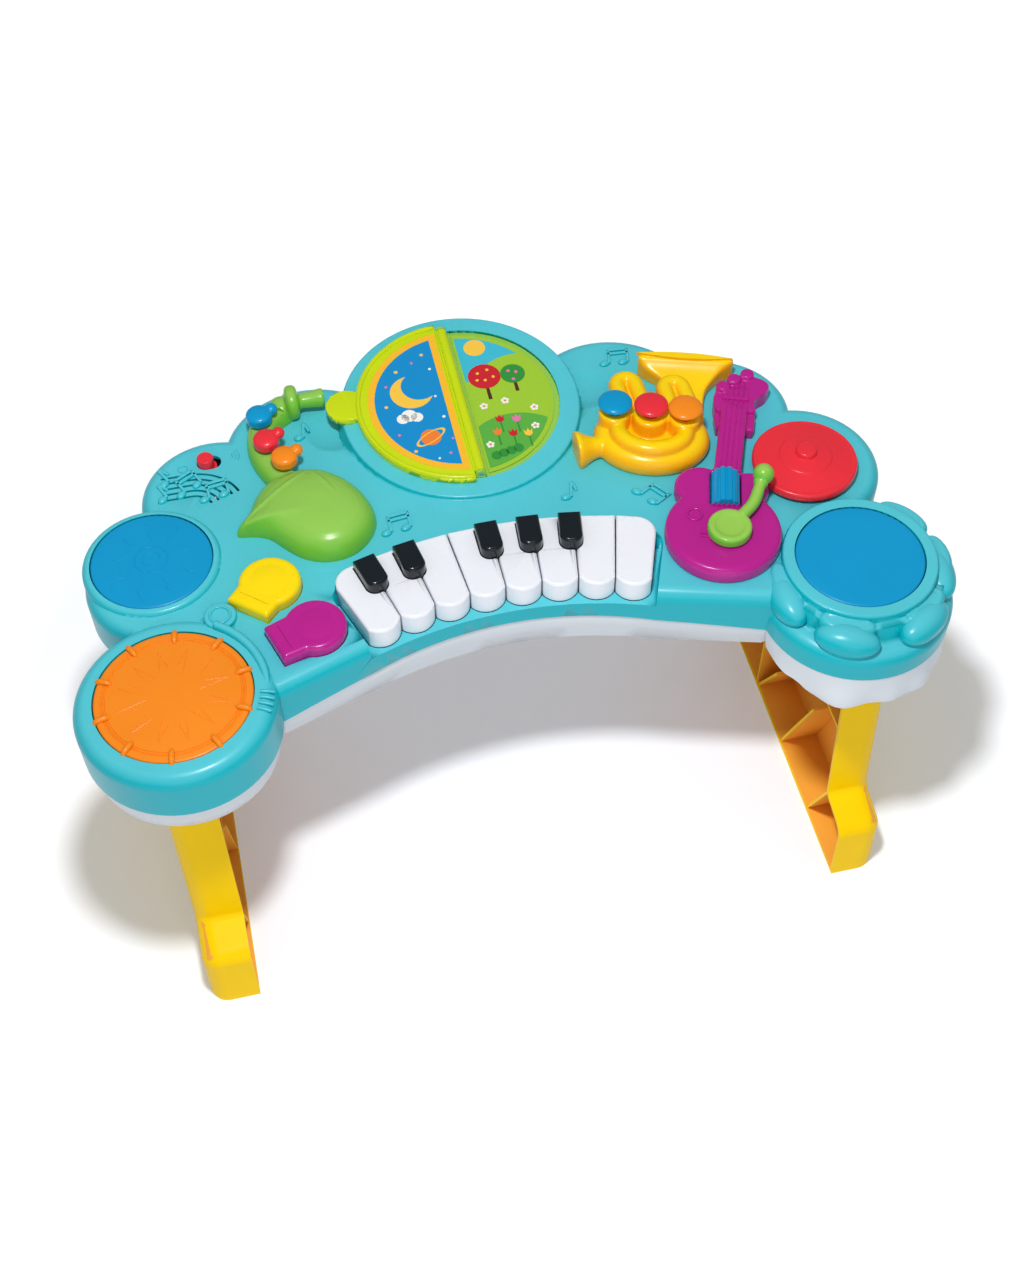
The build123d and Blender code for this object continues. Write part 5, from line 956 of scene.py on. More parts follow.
class MUSIC_OT_saxophone(bpy.types.Operator):
    """Green saxophone with its three touch keys"""

    bl_idname = "music.saxophone"
    bl_label = "Saxophone"

    def execute(self, context):
        colours = context.scene.table_colours
        # Painted shade: faces turned away from straight up get the darker green side tone.
        green = moulded(
            "sax_green", colours.green, rough=0.27, grain=0.000015, coat=0.4, side=linear(112, 190, 58)
        )
        body = self.body()
        dressed(body, "saxophone", TABLE, green, ["sax_body"])
        for name, (x, y) in SAX_KEYS.items():
            key = node_copy(f"sax_key_{name}")
            edit(key)
            bpy.ops.mesh.bisect(plane_co=(0, 0, 0.2524), plane_no=(0, 0, 1), use_fill=True, clear_outer=True)
            rest()
            turn = radians(24)
            pad = drum(x, y, 0.0086, 0.2532, 0.2585, sides=64)
            top = ball(x, y, 0.2583, 0.0084, 0.0084, 0.0031, rings=20)
            nub = ball(
                x + 0.0095 * cos(turn), y + 0.0095 * sin(turn), 0.2576, 0.0043, 0.0044, 0.0040, rings=16
            )
            stem = drum(x, y, 0.0030, 0.2515, 0.2560, sides=32)
            key = joined(key, fused(joined(pad, nub, top), 0.00045, passes=6), stem)
            finish = moulded(f"touch_{name}", getattr(colours, name), rough=0.28, coat=0.4)
            dressed(key, f"touch_{name}", f"{name}_sax_key", finish, [f"sax_key_{name}"])
        return {"FINISHED"}

    def body(self):
        bulb = outline_plate(smooth_loop(SAX_OUTLINE), 0.2385)
        parts = [piled(bulb, (-0.104, 0.016), BULB_RINGS)]
        neck = [
            (-0.124, 0.052), (-0.1315, 0.066), (-0.1365, 0.084), (-0.1345, 0.103), (-0.1265, 0.1155),
            (-0.118, 0.1188)
        ]
        parts.append(tube([(x, y, 0.2418) for x, y in neck], 0.0100, sides=9))
        parts.append(
            stacked_along(
                (-0.1153, 0.1196, 0.2500),
                [
                    (0.0070, 0.0), (0.0105, 0.0008), (0.0118, 0.0028), (0.0118, 0.0062), (0.0105, 0.0082),
                    (0.0072, 0.0090)
                ]
            )
        )
        parts.append(
            stacked_along(
                (-0.1120, 0.1196, 0.2500),
                [
                    (0.0064, 0.0), (0.0055, 0.0040), (0.0052, 0.0085), (0.0056, 0.0140), (0.0063, 0.0190),
                    (0.0066, 0.0222), (0.0062, 0.0230), (0.0048, 0.0230)
                ]
            )
        )
        parts.append(ball(-0.1185, 0.1187, 0.2445, 0.0100, 0.0100, 0.0102))
        body = fused(joined(*parts), 0.00085, passes=7)
        ridge = [
            (-0.1560, 0.0190), (-0.1500, 0.0240), (-0.1400, 0.0310), (-0.1290, 0.0385), (-0.1190, 0.0455),
            (-0.1110, 0.0515)
        ]
        fold = [(-0.1085, 0.0520), (-0.1045, 0.0440), (-0.1000, 0.0340), (-0.0960, 0.0260)]
        lines = []
        for line, thick in ((ridge, 0.0013), (fold, 0.0011)):
            points = [(x, y, body.ray_cast((x, y, 0.3), (0, 0, -1))[1].z) for x, y in line]
            lines.append(tube(points, thick, radii=[0.5] + [1] * (len(line) - 2) + [0.4]))
        body = fused(joined(body, *lines), 0.00075, passes=4)
        trimmed(body, ROOT)
        pockets = []
        for x, y in SAX_KEYS.values():
            pockets.append(drum(x, y, 0.0035, DECK - 0.003, 0.262, sides=40))
            pockets.append(drum(x, y, 0.0096, 0.2502, 0.2640, sides=64))
            pockets.append(drum(x + 0.0127, y + 0.0046, 0.0042, 0.2502, 0.2640, sides=32))
        return cut_away(body, *pockets)


def stacked_along(start, rings, sides=48):
    """Round piece lying along +X, built ring by ring: each ring is a radius and a distance."""
    ob = stacked(0, 0, rings, sides=sides)
    ob.matrix_world = Matrix.Translation(start) @ Matrix.Rotation(pi / 2, 4, "Y")
    return placed(ob)


# ---------------------------------------------------------------- trumpet
TRUMPET_ANGLE = radians(-18.7)
TRUMPET = Vector((0.1166, 0.0355))


def on_trumpet(side, forward, z):
    """Point beside and before the middle of the trumpet's loop."""
    c, s = cos(TRUMPET_ANGLE), sin(TRUMPET_ANGLE)
    return (TRUMPET.x + side * c - forward * s, TRUMPET.y + side * s + forward * c, z)


class MUSIC_OT_trumpet(bpy.types.Operator):
    """Yellow trumpet with its three coloured valves"""

    bl_idname = "music.trumpet"
    bl_label = "Trumpet"

    def execute(self, context):
        colours = context.scene.table_colours
        # Painted shade: faces turned away from straight up get the deeper orange-yellow side tone.
        yellow = moulded(
            "trumpet_yellow", colours.brass, rough=0.27, grain=0.000015, coat=0.4, side=linear(252, 182, 16)
        )
        dressed(self.body(), "trumpet", TABLE, yellow, ["trumpet_body"])
        for name, (x, y) in VALVES.items():
            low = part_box(f"trumpet_valve_{name}")[0].z
            rings = [
                (0.0048, low), (0.0050, low + 0.0003), (0.0050, 0.2668), (0.0062, 0.2672), (0.0088, 0.2677),
                (0.0104, 0.2684), (0.0112, 0.2694), (0.0112, 0.2701), (0.0108, 0.2708), (0.0100, 0.2714),
                (0.0085, 0.2721), (0.0065, 0.2726), (0.0040, 0.2729), (0.0012, 0.2730),
            ]
            valve = stacked(x, y, rings, sides=80)
            finish = moulded(f"valve_{name}", getattr(colours, name), rough=0.26, grain=0.00001, coat=0.45)
            node, slot = f"trumpet_valve_{name}", f"{name}_plastic"
            dressed(valve, f"valve_{name}", f"{name}_valve", finish, [node])
        return {"FINISHED"}

    def body(self):
        parts = []
        around = [radians(step * 15) for step in range(24)]
        outer = [on_trumpet(0.0300 * cos(a), 0.0215 * sin(a), 0.2455) for a in around]
        parts.append(tube(outer, 0.0090, closed=True, sides=9))
        ends = [on_trumpet(0.0225, 0.006, 0.2545)], [on_trumpet(-0.0225, 0.006, 0.2545)]
        parts.append(tube(ends[0] + self.front(0.0225, 0.0165) + ends[1], 0.0062, sides=8))
        floor = stacked(0, 0, [(0.0300, 0.2390), (0.0300, 0.2490), (0.0270, 0.2500)])
        turned = Matrix.Translation((*TRUMPET, 0)) @ Matrix.Rotation(TRUMPET_ANGLE, 4, "Z")
        floor.matrix_world = turned @ Matrix.Diagonal((1, 0.72, 1, 1))
        parts.append(placed(floor))
        for name, (x, y) in VALVES.items():
            r = 0.0117 if name == "red" else 0.0106
            casing = [(r, 0.2390), (r, 0.2606), (r - 0.0006, 0.2618), (r - 0.0016, 0.2624)]
            parts.append(stacked(x, y, casing, sides=64))
        for x, y0, y1 in ((0.1110, 0.046, 0.0800), (0.1413, 0.038, 0.0695)):
            parts.append(tube(self.arch(x, y0, y1), 0.0058, sides=8))
        parts.append(self.bell())
        parts.append(
            stacked_along(
                (0.0648, 0.0360, 0.2460),
                [
                    (0.0085, 0.0), (0.0125, 0.0004), (0.0130, 0.0016), (0.0122, 0.0040), (0.0100, 0.0075),
                    (0.0080, 0.0112), (0.0072, 0.0150), (0.0074, 0.0220), (0.0076, 0.0280)
                ]
            )
        )
        body = fused(joined(*parts), 0.0008, passes=5)
        trimmed(body, ROOT)
        holes = [drum(x, y, 0.0056, 0.2560, 0.2660, sides=48) for x, y in VALVES.values()]
        stand = stacked(BOOK.x, BOOK.y, [(0.0845, 0.238), (0.0843, 0.2400), (0.0790, 0.2620)])
        mouth = ball(0.1592, 0.1035, 0.2482, 0.0270, 0.0062, 0.0066, turn=TRUMPET_ANGLE)
        cut_away(body, *holes, stand, mouth)
        lip = outline_plate(self.lens(0.0028, -0.0028, 0.0328), 0.2556)
        lip = piled(lip, (0.1562, 0.0945), [(1.0, 0.2577), (0.985, 0.2583)])
        return joined(body, lip)

    @staticmethod
    def lens(back, front, half):
        """Lens-shaped outline of the bell's lip, in plan."""
        centre = Vector((0.1562, 0.0945))
        along = Vector((cos(TRUMPET_ANGLE), sin(TRUMPET_ANGLE)))
        away = Vector((-along.y, along.x))
        points = []
        for bow, shares in ((front, range(-12, 12)), (back, range(12, -12, -1))):
            for step in shares:
                t = step / 12
                points.append(centre + along * half * t + away * bow * (1 - t * t))
        return points

    def bell(self):
        """Fan of the bell, hollowed so that it falls from the lip to the throat."""
        foot = [
            (126.0, 104.0), (128.5, 96.0), (137.0, 86.0), (142.5, 74.0), (143.0, 58.0), (140.0, 38.0),
            (153.0, 36.0), (159.0, 56.0), (165.0, 70.0), (176.0, 79.0), (187.0, 83.0), (187.5, 87.0),
            (172.0, 94.0), (156.0, 100.0), (140.0, 104.0)
        ]
        fan = piled(
            outline_plate(smooth_loop(foot, steps=4), 0.2390), (0.1550, 0.0900),
            [(1.0, 0.2560), (0.99, 0.2568)]
        )
        cut_away(fan, ball(0.1519, 0.0517, 0.2595, 0.3, 0.0400, 0.0140, turn=TRUMPET_ANGLE))
        return fused(fan, 0.0008, passes=30)

    @staticmethod
    def front(side, forward):
        """Bend of the smaller tube before the valves."""
        return [
            on_trumpet(side * cos(radians(a)), -0.002 + forward * sin(radians(a)), 0.2545)
            for a in (0, -25, -50, -75, -90, -105, -130, -155, -180)
        ]

    @staticmethod
    def arch(x, y0, y1):
        r = 0.0064
        points = [(x - r, y0, 0.2530), (x - r, (y0 + y1) / 2, 0.2530)]
        points += [
            (x + r * cos(radians(a)), y1 + r * sin(radians(a)), 0.2530)
            for a in (180, 150, 120, 90, 60, 30, 0)
        ]
        return points + [(x + r, (y0 + y1) / 2, 0.2530), (x + r, y0, 0.2530)]


# ---------------------------------------------------------------- guitar
GUITAR_HEAD = (
    (165.0, 45.0), (165.5, 56.0), (170.0, 64.0), (180.0, 69.0), (190.0, 71.5), (198.0, 70.5), (204.5, 65.5),
    (206.0, 59.5), (201.5, 54.0), (194.5, 50.5), (190.5, 45.0), (189.0, 38.5), (177.0, 41.5),
)


class MUSIC_OT_guitar(bpy.types.Operator):
    """Purple guitar with its blue roller and green lever"""

    bl_idname = "music.guitar"
    bl_label = "Guitar"

    def execute(self, context):
        colours, sizes = context.scene.table_colours, context.scene.table_sizes
        purple = moulded("guitar_purple", colours.purple, rough=0.26, grain=0.000015, coat=0.4)
        dressed(self.body(sizes), "guitar", TABLE, purple, ["guitar_body"])
        blue = moulded("roller_blue", colours.blue, rough=0.3, grain=0.00001, coat=0.3)
        dressed_node("guitar_roller", "roller", "roller", blue)
        # Painted shade: faces turned away from straight up get the darker green side tone.
        green = moulded(
            "lever_green", colours.light_green, rough=0.26, grain=0.00001, coat=0.45,
            side=linear(112, 194, 62)
        )
        dressed(self.lever(), "lever", "lever", green, ["guitar_lever"])
        return {"FINISHED"}

    def body(self, sizes):
        body = node_copy("guitar_body")
        start, end = Vector((0.1600, 0.0030)), Vector((0.1795, 0.0520))
        along = (end - start).normalized()
        side = Vector((along.y, -along.x))
        parts = [body]
        head_off = drum(0, 0, 0.0300, 0.2370, 0.2600, sides=64)
        head_off.matrix_world = Matrix.Translation((*(end + along * 0.0225 + side * 0.0080), 0))
        cut_away(body, placed(head_off))
        fused(body, 0.0007, passes=24)
        head = piled(
            outline_plate(smooth_loop(GUITAR_HEAD, steps=5), 0.2385), (0.1850, 0.0560),
            [(1.0, 0.2508), (0.98, 0.2518), (0.94, 0.2522)]
        )
        parts.append(head)
        for a, b in (((0.1655, 0.0460), (0.1632, 0.0325)), ((0.1868, 0.0385), (0.1815, 0.0258))):
            parts.append(bar(a, b, 0.0056, 0.2385, 0.2484, edge=0.001))
        parts.append(bar(end - along * 0.012, end + along * 0.010, 0.0176, 0.2385, 0.2532, edge=0.001))
        for x, y in ((0.1745, 0.0640), (0.1838, 0.0688), (0.1938, 0.0712)):
            peg = [(0.0048, 0.2400), (0.0048, 0.2545), (0.0044, 0.2553), (0.0034, 0.2556)]
            parts.append(stacked(x, y, peg, sides=40))
        body = fused(joined(*parts), 0.0007, passes=8)
        trimmed(body, ROOT)
        extras = [body]
        for offset in (-0.0051, -0.0017, 0.0017, 0.0051):
            a, b = start + side * offset - along * 0.0125, end + side * offset + along * 0.004
            c = b + along * 0.012
            line = [(*a, 0.2542), (*((a + b) / 2), 0.2542), (*b, 0.2540), (*c, 0.2526)]
            extras.append(tube(line, sizes.string, sides=3))
        nut = end - along * 0.001
        extras.append(bar(nut - side * 0.0088, nut + side * 0.0088, 0.0026, 0.2525, 0.2549, edge=0.0006))
        extras.append(ring(0.1232, -0.0405, 0.0047, 0.0008, 0.2522))
        for step in (0.0, 0.0026):
            a = Vector((0.1222 - step * 0.3, -0.0560 - step))
            b = Vector((0.1290 - step * 0.3, -0.0590 - step))
            extras.append(bar(a, b, 0.0013, 0.2500, 0.2530))
        t = radians(73)
        axis, across = Vector((cos(t), sin(t))), Vector((-sin(t), cos(t)))
        for index in range(6):
            foot = Vector((0.1491, -0.0237)) - axis * 0.0146 + across * (index - 2.5) * 0.0032
            bpy.ops.mesh.primitive_cone_add(
                vertices=4, radius1=0.0022, radius2=0.0004, depth=0.0026, location=(foot.x, foot.y, 0.2525)
            )
            tooth = bpy.context.object
            tooth.rotation_euler.z = t
            extras.append(placed(tooth))
        return joined(*extras)

    def lever(self):
        x, y = 0.1399, -0.0600
        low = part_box("guitar_lever")[0].z
        hub = stacked(
            x, y,
            [
                (0.0038, low), (0.0040, low + 0.0003), (0.0040, 0.2528), (0.0128, 0.2530), (0.0139, 0.2536),
                (0.0140, 0.2578), (0.0137, 0.2590), (0.0128, 0.2598), (0.0115, 0.2600), (0.0100, 0.2597),
                (0.0086, 0.2590), (0.0060, 0.2586), (0.0010, 0.2585)
            ]
        )
        arm = tube(
            [
                (0.1495, -0.0530, 0.2568), (0.1535, -0.0500, 0.2570), (0.1600, -0.0450, 0.2574),
                (0.1640, -0.0395, 0.2580), (0.1680, -0.0330, 0.2592), (0.1716, -0.0272, 0.2606)
            ],
            0.0036, radii=(1.1, 1.1, 1.1, 1.1, 1.05, 0.95), sides=8
        )
        head = ball(0.1726, -0.0258, 0.2620, 0.0068, 0.0068, 0.0068)
        collar = ball(0.1697, -0.0302, 0.2598, 0.0048, 0.0048, 0.0044, rings=16)
        return fused(joined(hub, arm, head, collar), 0.0005, passes=5)


# ---------------------------------------------------------------- song book
def on_book(ob, height=0.0):
    """Moves a piece modelled flat at the origin on to the book's tilted plane."""
    tilt = Matrix.Rotation(BOOK_TILT, 4, "X")
    ob.matrix_world = Matrix.Translation(BOOK) @ tilt @ Matrix.Translation((0, 0, height)) @ ob.matrix_world
    return placed(ob)


def half_moon(radius, start, side, low, high):
    """Half a disc beside the spine."""
    disc = drum(0, 0, radius, low, high, sides=128)
    bpy.ops.mesh.primitive_cube_add(size=1, location=(side * (start + radius), 0, 0))
    block = bpy.context.object
    block.scale = (2 * radius, 4 * radius, 0.1)
    placed(block)
    return kept_inside(disc, block)


LABEL_R = 0.0633            # radius of the labels in the bed
PAGE_LABEL_R = 0.062
LABEL_START = 0.006         # their distance from the spine
LABEL_THICK = 0.0004
INK_LOW = LABEL_THICK - 0.0002
INK_TOP = LABEL_THICK + 0.00006
INK_RISE = 0.00026
LAYER = 0.00002             # each ink lies this much over the one before
PAGE_TOP = 0.0043           # heights over the book's plane
BED_FLOOR = -0.0014
INKS = {
    "amber": (255, 190, 40), "sky": (0, 142, 208), "air": (60, 190, 215), "meadow": (160, 205, 50),
    "grass": (92, 178, 66), "leaf": (48, 148, 58), "moon": (255, 202, 70), "white": (246, 246, 240),
    "red": (206, 30, 44), "pink": (238, 120, 176), "brown": (84, 44, 34), "orange": (244, 130, 50),
}


class Ink:
    """A printed label: flat shapes laid over each other in thin steps."""

    def __init__(self, side, inks):
        self.side = side
        self.inks = inks
        self.parts = []

    def lay(self, ob, ink, inside=None):
        """Lays a shape as the next step, cut off at the label's frame."""
        ob.matrix_world = Matrix.Translation((0, 0, LAYER * len(self.parts))) @ ob.matrix_world
        placed(ob)
        if inside:
            kept_inside(ob, half_moon(*inside, self.side, -0.01, 0.01))
        ob.data.materials.clear()
        ob.data.materials.append(self.inks[ink])
        self.parts.append(ob)

    def framed(self, radius, inner, start, ground, frame):
        """Lays the frame's colour and over it the ground's."""
        self.lay(half_moon(radius, LABEL_START, self.side, 0, LABEL_THICK), frame)
        self.lay(half_moon(inner, start, self.side, 0.0001, 0.00046), ground)

    def spot(self, x, y, radius, sides=48):
        return drum(x, y, radius, INK_LOW, INK_TOP, sides=sides)

    def dots(self, places, ink, sides=20, inside=None):
        """Lays several spots as one step: each is a place and a radius in millimetres."""
        spots = [self.spot(x * MM, y * MM, r * MM, sides=sides) for x, y, r in places]
        self.lay(joined(*spots), ink, inside)

    def plate(self, points, ink):
        """Lays a flat shape with straight sides."""
        ob = outline_plate(points, INK_LOW)
        edit(ob)
        bpy.ops.mesh.extrude_region_move()
        bpy.ops.transform.translate(value=(0, 0, INK_RISE))
        turned_out()
        self.lay(ob, ink)

    def done(self):
        return joined(*self.parts)


class MUSIC_OT_book(bpy.types.Operator):
    """Round song book: bed, one turning page and its printed labels"""

    bl_idname = "music.book"
    bl_label = "Song book"

    def execute(self, context):
        colours = context.scene.table_colours
        bed = moulded("bed_green", colours.light_green, rough=0.34, grain=0.00002, coat=0.2)
        lime = moulded("page_lime", colours.lime, rough=0.28, grain=0.000015, coat=0.35)
        dressed_node("book_bed", "bed", TABLE, bed)
        dressed(self.page(), "page", "page", lime, ["book_page"])
        self.inks = {name: print_ink(f"ink_{name}", linear(*rgb)) for name, rgb in INKS.items()}
        night, day = on_book(self.night(), PAGE_TOP), on_book(self.day(LABEL_R), BED_FLOOR)
        bare = on_book(self.plain(LABEL_R, "meadow", "grass"), BED_FLOOR)
        dressed(night, "print_night", "page", None, ["page_front_picture"])
        dressed(day, "print_day", TABLE, None, ["right_picture"])
        dressed(bare, "print_bed", TABLE, None, ["left_picture"])
        back = self.plain(PAGE_LABEL_R, "air", "white")
        back.matrix_world = Matrix.Translation((0, 0, 0.0003)) @ Matrix.Diagonal((1, 1, -1, 1))
        placed(back)
        edit(back)
        turned_out()
        dressed(on_book(back, 0.0), "print_back", "page", None, ["page_back_picture"])
        return {"FINISHED"}

    def page(self):
        """Page with a raised rim round its label and a ridge beside the spine."""
        page = node_copy("book_page")
        rim = [(-0.0686 * cos(radians(a)), 0.0686 * sin(radians(a)), 0.0) for a in range(-86, 87, 4)]
        edge = tube(rim, 0.0016, radii=[0.6] + [1] * (len(rim) - 2) + [0.6])
        line = [(-0.0040, -0.0640, 0.0002), (-0.0040, 0.0, 0.0002), (-0.0040, 0.0640, 0.0002)]
        ridge = tube(line, 0.0011, radii=(0.7, 1, 0.7))
        return joined(page, on_book(edge, PAGE_TOP), on_book(ridge, PAGE_TOP))

    def night(self):
        """Blue label with an amber frame, a moon, a ringed planet and plain dots."""
        label = Ink(-1, self.inks)
        label.framed(PAGE_LABEL_R, 0.0575, 0.0105, "sky", "amber")
        moon = label.spot(-0.031, 0.012, 0.0145, sides=96)
        cut_away(moon, drum(-0.0248, 0.0165, 0.0125, -0.01, 0.01, sides=96))
        label.lay(moon, "moon")
        ring_plate = label.spot(0, 0, 0.0118, sides=64)
        cut_away(ring_plate, drum(0, 0, 0.0098, -0.01, 0.01, sides=64))
        turned = Matrix.Translation((-0.026, -0.030, 0)) @ Matrix.Rotation(0.5, 4, "Z")
        ring_plate.matrix_world = turned @ Matrix.Diagonal((1, 0.36, 1, 1))
        label.lay(label.spot(-0.026, -0.030, 0.0068), "orange")
        label.lay(placed(ring_plate), "moon")
        label.dots(((-41, -10.5, 4.2), (-36.5, -8.5, 5.2), (-31.5, -10.8, 4.0)), "white", sides=48)
        dots = (
            (-18, 44, 1.2), (-26, 38, 0.9), (-15, 30, 1.0), (-38, 32, 1.3), (-47, 20, 1.0), (-16, 5, 0.9),
            (-50, 2, 1.2), (-46, -24, 1.0), (-14, -14, 1.1), (-38, -40, 1.2), (-16, -46, 1.0),
            (-24, -49, 0.8), (-43, 10, 0.7), (-12, -34, 0.8),
        )
        for index, ink in enumerate(("moon", "pink", "white")):
            label.dots(dots[index::3], ink)
        return label.done()

    def day(self, radius):
        """Meadow label with hills, a sun, two round trees, flowers, tulips and a hedge."""
        label = Ink(1, self.inks)
        frame_size = (radius - 0.0032, 0.0075)
        label.framed(radius, *frame_size, "air", "meadow")
        hills = ((44, 4, 33.0, "meadow"), (10, -24, 42.0, "meadow"), (30, -56, 40.0, "grass"))
        for x, y, r, ink in hills:
            label.dots([(x, y, r)], ink, sides=96, inside=frame_size)
        label.dots([(20, 48, 7.5)], "moon", sides=48, inside=frame_size)
        for x, y, r, ink in ((0.0210, 0.0205, 0.0112, "red"), (0.0405, 0.0190, 0.0085, "leaf")):
            trunk = [(x - 0.0013, y - r * 1.9), (x + 0.0013, y - r * 1.9), (x + 0.0009, y), (x - 0.0009, y)]
            label.plate(trunk, "brown")
            label.lay(label.spot(x, y, r), ink)
        label.dots([(x, y, 1.1) for x, y in ((17, 24), (24, 26), (21, 17), (27, 19), (15.5, 18))], "moon")
        label.dots([(x, y, 1.2) for x, y in ((38, 22), (43, 20), (40, 14))], "pink")
        flowers = ((15, -6), (30, -4), (48, -14), (12, -40), (45, -30))
        petals = []
        for x, y in flowers:
            for step in range(5):
                a = radians(step * 72 + 18)
                petals.append((x + 1.7 * cos(a), y + 1.7 * sin(a), 1.2))
        label.dots(petals, "white", sides=16)
        label.dots([(x, y, 0.9) for x, y in flowers], "orange", sides=16)
        for fx, fy, ink in (
            (23, -22, "red"), (34, -24, "pink"), (19, -33, "orange"), (29, -36, "red"), (39, -38, "moon"),
        ):
            x, y = fx * MM, fy * MM
            stalk = [(x - 0.0005, y - 0.009), (x + 0.0005, y - 0.009), (x + 0.0005, y), (x - 0.0005, y)]
            label.plate(stalk, "leaf")
            cup = [
                (x - 0.0030, y + 0.0058), (x - 0.0026, y + 0.0012), (x, y - 0.0006), (x + 0.0026, y + 0.0012),
                (x + 0.0030, y + 0.0058), (x + 0.0014, y + 0.0036), (x, y + 0.0064), (x - 0.0014, y + 0.0036),
            ]
            label.plate(cup, ink)
        hedge = [(14 + 5.2 * step, -50 + 1.1 * step, 3.4) for step in range(4)]
        label.dots(hedge, "leaf", sides=24, inside=frame_size)
        return label.done()

    def plain(self, radius, ground, spots):
        """Quiet label of one colour in an amber frame, with a wave of dots."""
        label = Ink(-1, self.inks)
        label.framed(radius, radius - 0.0045, 0.0105, ground, "amber")
        wave = [(-(18 + 9 * (step % 3)), -42 + 7.6 * step, 1.6 + step % 3 * 0.7) for step in range(12)]
        label.dots(wave, spots, sides=32)
        return label.done()


# ---------------------------------------------------------------- switch
class MUSIC_OT_switch(bpy.types.Operator):
    """Red power and volume knob"""

    bl_idname = "music.switch"
    bl_label = "Switch"

    def execute(self, context):
        red = moulded("switch_red", context.scene.table_colours.red, rough=0.3, grain=0.00001, coat=0.3)
        low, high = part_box("power_switch")
        x, y = (low.x + high.x) / 2, (low.y + high.y) / 2
        rings = [
            (0.0030, low.z), (0.0030, 0.2350), (0.0070, 0.2351), (0.0070, 0.2370), (0.0055, 0.2371),
            (0.0055, 0.2446), (0.0053, 0.2452), (0.0049, 0.2455), (0.0030, 0.2454), (0.0026, 0.24525),
            (0.0020, 0.2454), (0.0008, 0.2455)
        ]
        dressed(stacked(x, y, rings, sides=64), "switch", "switch_knob", red, ["power_switch"])
        return {"FINISHED"}


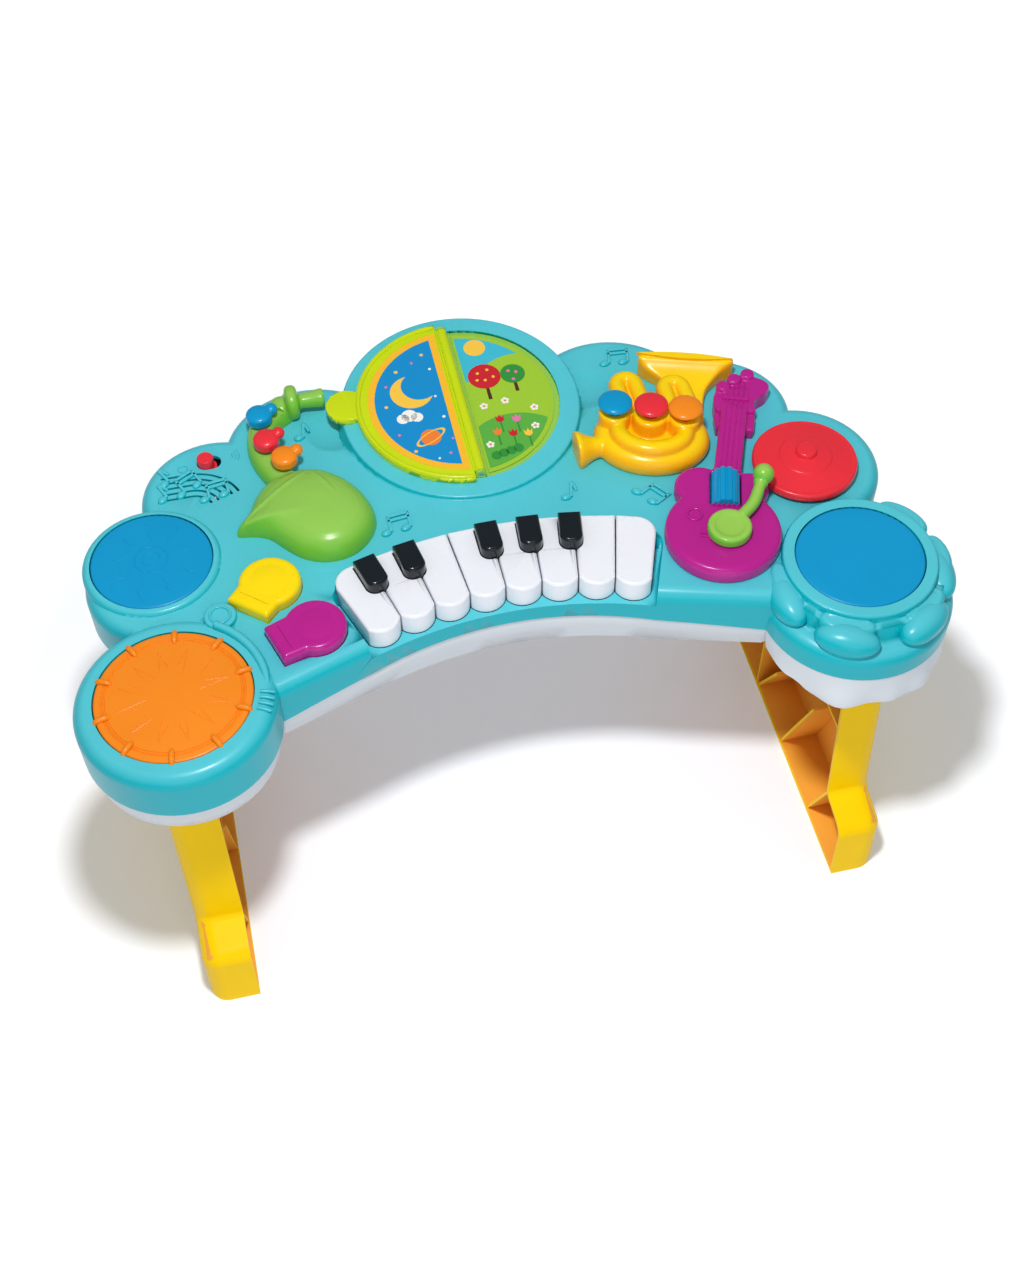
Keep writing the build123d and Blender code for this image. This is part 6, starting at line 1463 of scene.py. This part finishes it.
# ---------------------------------------------------------------- studio
class MUSIC_OT_stage(bpy.types.Operator):
    """Pale floor, soft light and the camera"""

    bl_idname = "music.stage"
    bl_label = "Studio"

    def execute(self, context):
        bpy.ops.mesh.primitive_plane_add(size=FLOOR_SIZE, location=(0, 0, 0))
        floor = bpy.context.object
        floor.name = "floor"
        floor.data.materials.append(self.paper())
        self.sky(context.scene)
        self.lamp("main_lamp", (-0.10, -0.29, 1.07), 0.045, 26.0)
        self.fill_lamp("front_fill", (-0.25, -1.85, 0.75), 1.5, 5.5)
        self.camera(context.scene)
        context.scene.view_settings.view_transform = "Standard"
        return {"FINISHED"}

    def paper(self):
        """Matt paper that stays white to the eye and keeps the shadow."""
        material, tree, shader, place = new_material("floor_paper")
        fibre = noise(tree, place, 60.0, 4.0)
        tone = toned(tree, fibre, (0.84, 0.87, 0.92, 1), (0.86, 0.89, 0.94, 1))
        tree.links.new(tone.outputs["Color"], shader.inputs["Base Color"])
        shader.inputs["Roughness"].default_value = 0.9
        shader.inputs["Specular IOR Level"].default_value = 0.1
        path = wired(tree, "ShaderNodeLightPath", {})
        flat = wired(tree, "ShaderNodeVectorMath", {0: place}, operation="LENGTH")
        far = wired(
            tree,
            "ShaderNodeMapRange",
            {
                "Value": flat.outputs["Value"], "From Min": 0.36, "From Max": 0.8, "To Min": 0.12,
                "To Max": 0.9
            },
        )
        glow = wired(tree, "ShaderNodeEmission", {"Color": (1, 1, 1, 1), "Strength": far.outputs["Result"]})
        none = wired(tree, "ShaderNodeEmission", {"Color": (0, 0, 0, 1), "Strength": 0.0})
        seen = wired(
            tree, "ShaderNodeMixShader",
            {0: path.outputs["Is Camera Ray"], 1: none.outputs[0], 2: glow.outputs[0]}
        )
        both = wired(tree, "ShaderNodeAddShader", {0: shader.outputs[0], 1: seen.outputs[0]})
        tree.links.new(both.outputs[0], tree.nodes["Material Output"].inputs["Surface"])
        return material

    def sky(self, scene):
        world = scene.world or bpy.data.worlds.new("studio")
        scene.world = world
        world.use_nodes = True
        tree = world.node_tree
        tree.nodes.clear()
        path = wired(tree, "ShaderNodeLightPath", {})
        dim = wired(
            tree, "ShaderNodeMath", {0: path.outputs["Is Glossy Ray"], 1: -0.24}, operation="MULTIPLY"
        )
        sky = wired(tree, "ShaderNodeMath", {0: dim.outputs[0], 1: 0.38}, operation="ADD")
        soft = wired(tree, "ShaderNodeBackground", {"Color": (1, 1, 1, 1), "Strength": sky.outputs[0]})
        white = wired(tree, "ShaderNodeBackground", {"Color": (1, 1, 1, 1), "Strength": 1.0})
        mix = wired(
            tree, "ShaderNodeMixShader",
            {0: path.outputs["Is Camera Ray"], 1: soft.outputs[0], 2: white.outputs[0]}
        )
        wired(tree, "ShaderNodeOutputWorld", {"Surface": mix.outputs[0]})

    def lamp(self, name, place, radius, power):
        """Lamp whose light stays even over the whole floor."""
        bpy.ops.object.light_add(type="POINT", location=place)
        lamp = bpy.context.object
        lamp.name = name
        lamp.data.shadow_soft_size = radius
        lamp.data.energy = power
        lamp.data.use_nodes = True
        tree = lamp.data.node_tree
        even = wired(tree, "ShaderNodeLightFalloff", {"Strength": 1.0, "Smooth": 0.0})
        tree.links.new(even.outputs["Constant"], tree.nodes["Emission"].inputs["Strength"])

    def fill_lamp(self, name, place, size, power):
        """Broad soft lamp that opens up the upright faces."""
        bpy.ops.object.light_add(type="AREA", location=place)
        lamp = bpy.context.object
        lamp.name = name
        lamp.data.shape = "DISK"
        lamp.data.size = size
        lamp.data.energy = power
        lamp.rotation_euler = (Vector((0, 0, 0.15)) - Vector(place)).to_track_quat("-Z", "Y").to_euler()

    def camera(self, scene):
        pitch, yaw, roll = radians(52.75), radians(12.47), radians(-0.576)
        forward = Vector((sin(yaw) * cos(pitch), cos(yaw) * cos(pitch), -sin(pitch)))
        right = Vector((cos(yaw), -sin(yaw), 0))
        up = right.cross(forward)
        side = right * cos(roll) + up * sin(roll)
        head = up * cos(roll) - right * sin(roll)
        bpy.ops.object.camera_add()
        camera = bpy.context.object
        camera.name = "camera"
        camera.matrix_world = Matrix(
            (
                (side.x, head.x, -forward.x, -0.1431),
                (side.y, head.y, -forward.y, -0.6993),
                (side.z, head.z, -forward.z, 1.0430),
                (0, 0, 0, 1),
            )
        )
        camera.data.lens = 46.70
        camera.data.sensor_width = 36
        camera.data.sensor_fit = "AUTO"
        scene.camera = camera


# ---------------------------------------------------------------- panel and registration
STEPS = (
    MUSIC_OT_stage,
    MUSIC_OT_inner,
    MUSIC_OT_shell,
    MUSIC_OT_base,
    MUSIC_OT_legs,
    MUSIC_OT_keys,
    MUSIC_OT_drums,
    MUSIC_OT_castanets,
    MUSIC_OT_saxophone,
    MUSIC_OT_trumpet,
    MUSIC_OT_guitar,
    MUSIC_OT_book,
    MUSIC_OT_switch,
)


class MUSIC_PT_panel(bpy.types.Panel):
    """Colours, sizes and the steps that dress the table"""

    bl_idname = "MUSIC_PT_panel"
    bl_label = "Musical Activity Table"
    bl_space_type = "VIEW_3D"
    bl_region_type = "UI"
    bl_category = "Music Table"

    def draw(self, context):
        layout = self.layout
        for group in (context.scene.table_colours, context.scene.table_sizes):
            box = layout.box()
            for key in group.__annotations__:
                box.prop(group, key)
        for step in STEPS:
            layout.operator(step.bl_idname)


CLASSES = (TableColours, TableSizes) + STEPS + (MUSIC_PT_panel,)


def register():
    for cls in CLASSES:
        bpy.utils.register_class(cls)
    bpy.types.Scene.table_colours = bpy.props.PointerProperty(type=TableColours)
    bpy.types.Scene.table_sizes = bpy.props.PointerProperty(type=TableSizes)


def unregister():
    del bpy.types.Scene.table_sizes
    del bpy.types.Scene.table_colours
    for cls in reversed(CLASSES):
        bpy.utils.unregister_class(cls)


def main():
    register()
    rest()
    for step in STEPS:
        group, name = step.bl_idname.split(".")
        getattr(getattr(bpy.ops, group), name)()


if __name__ == "__main__":
    main()
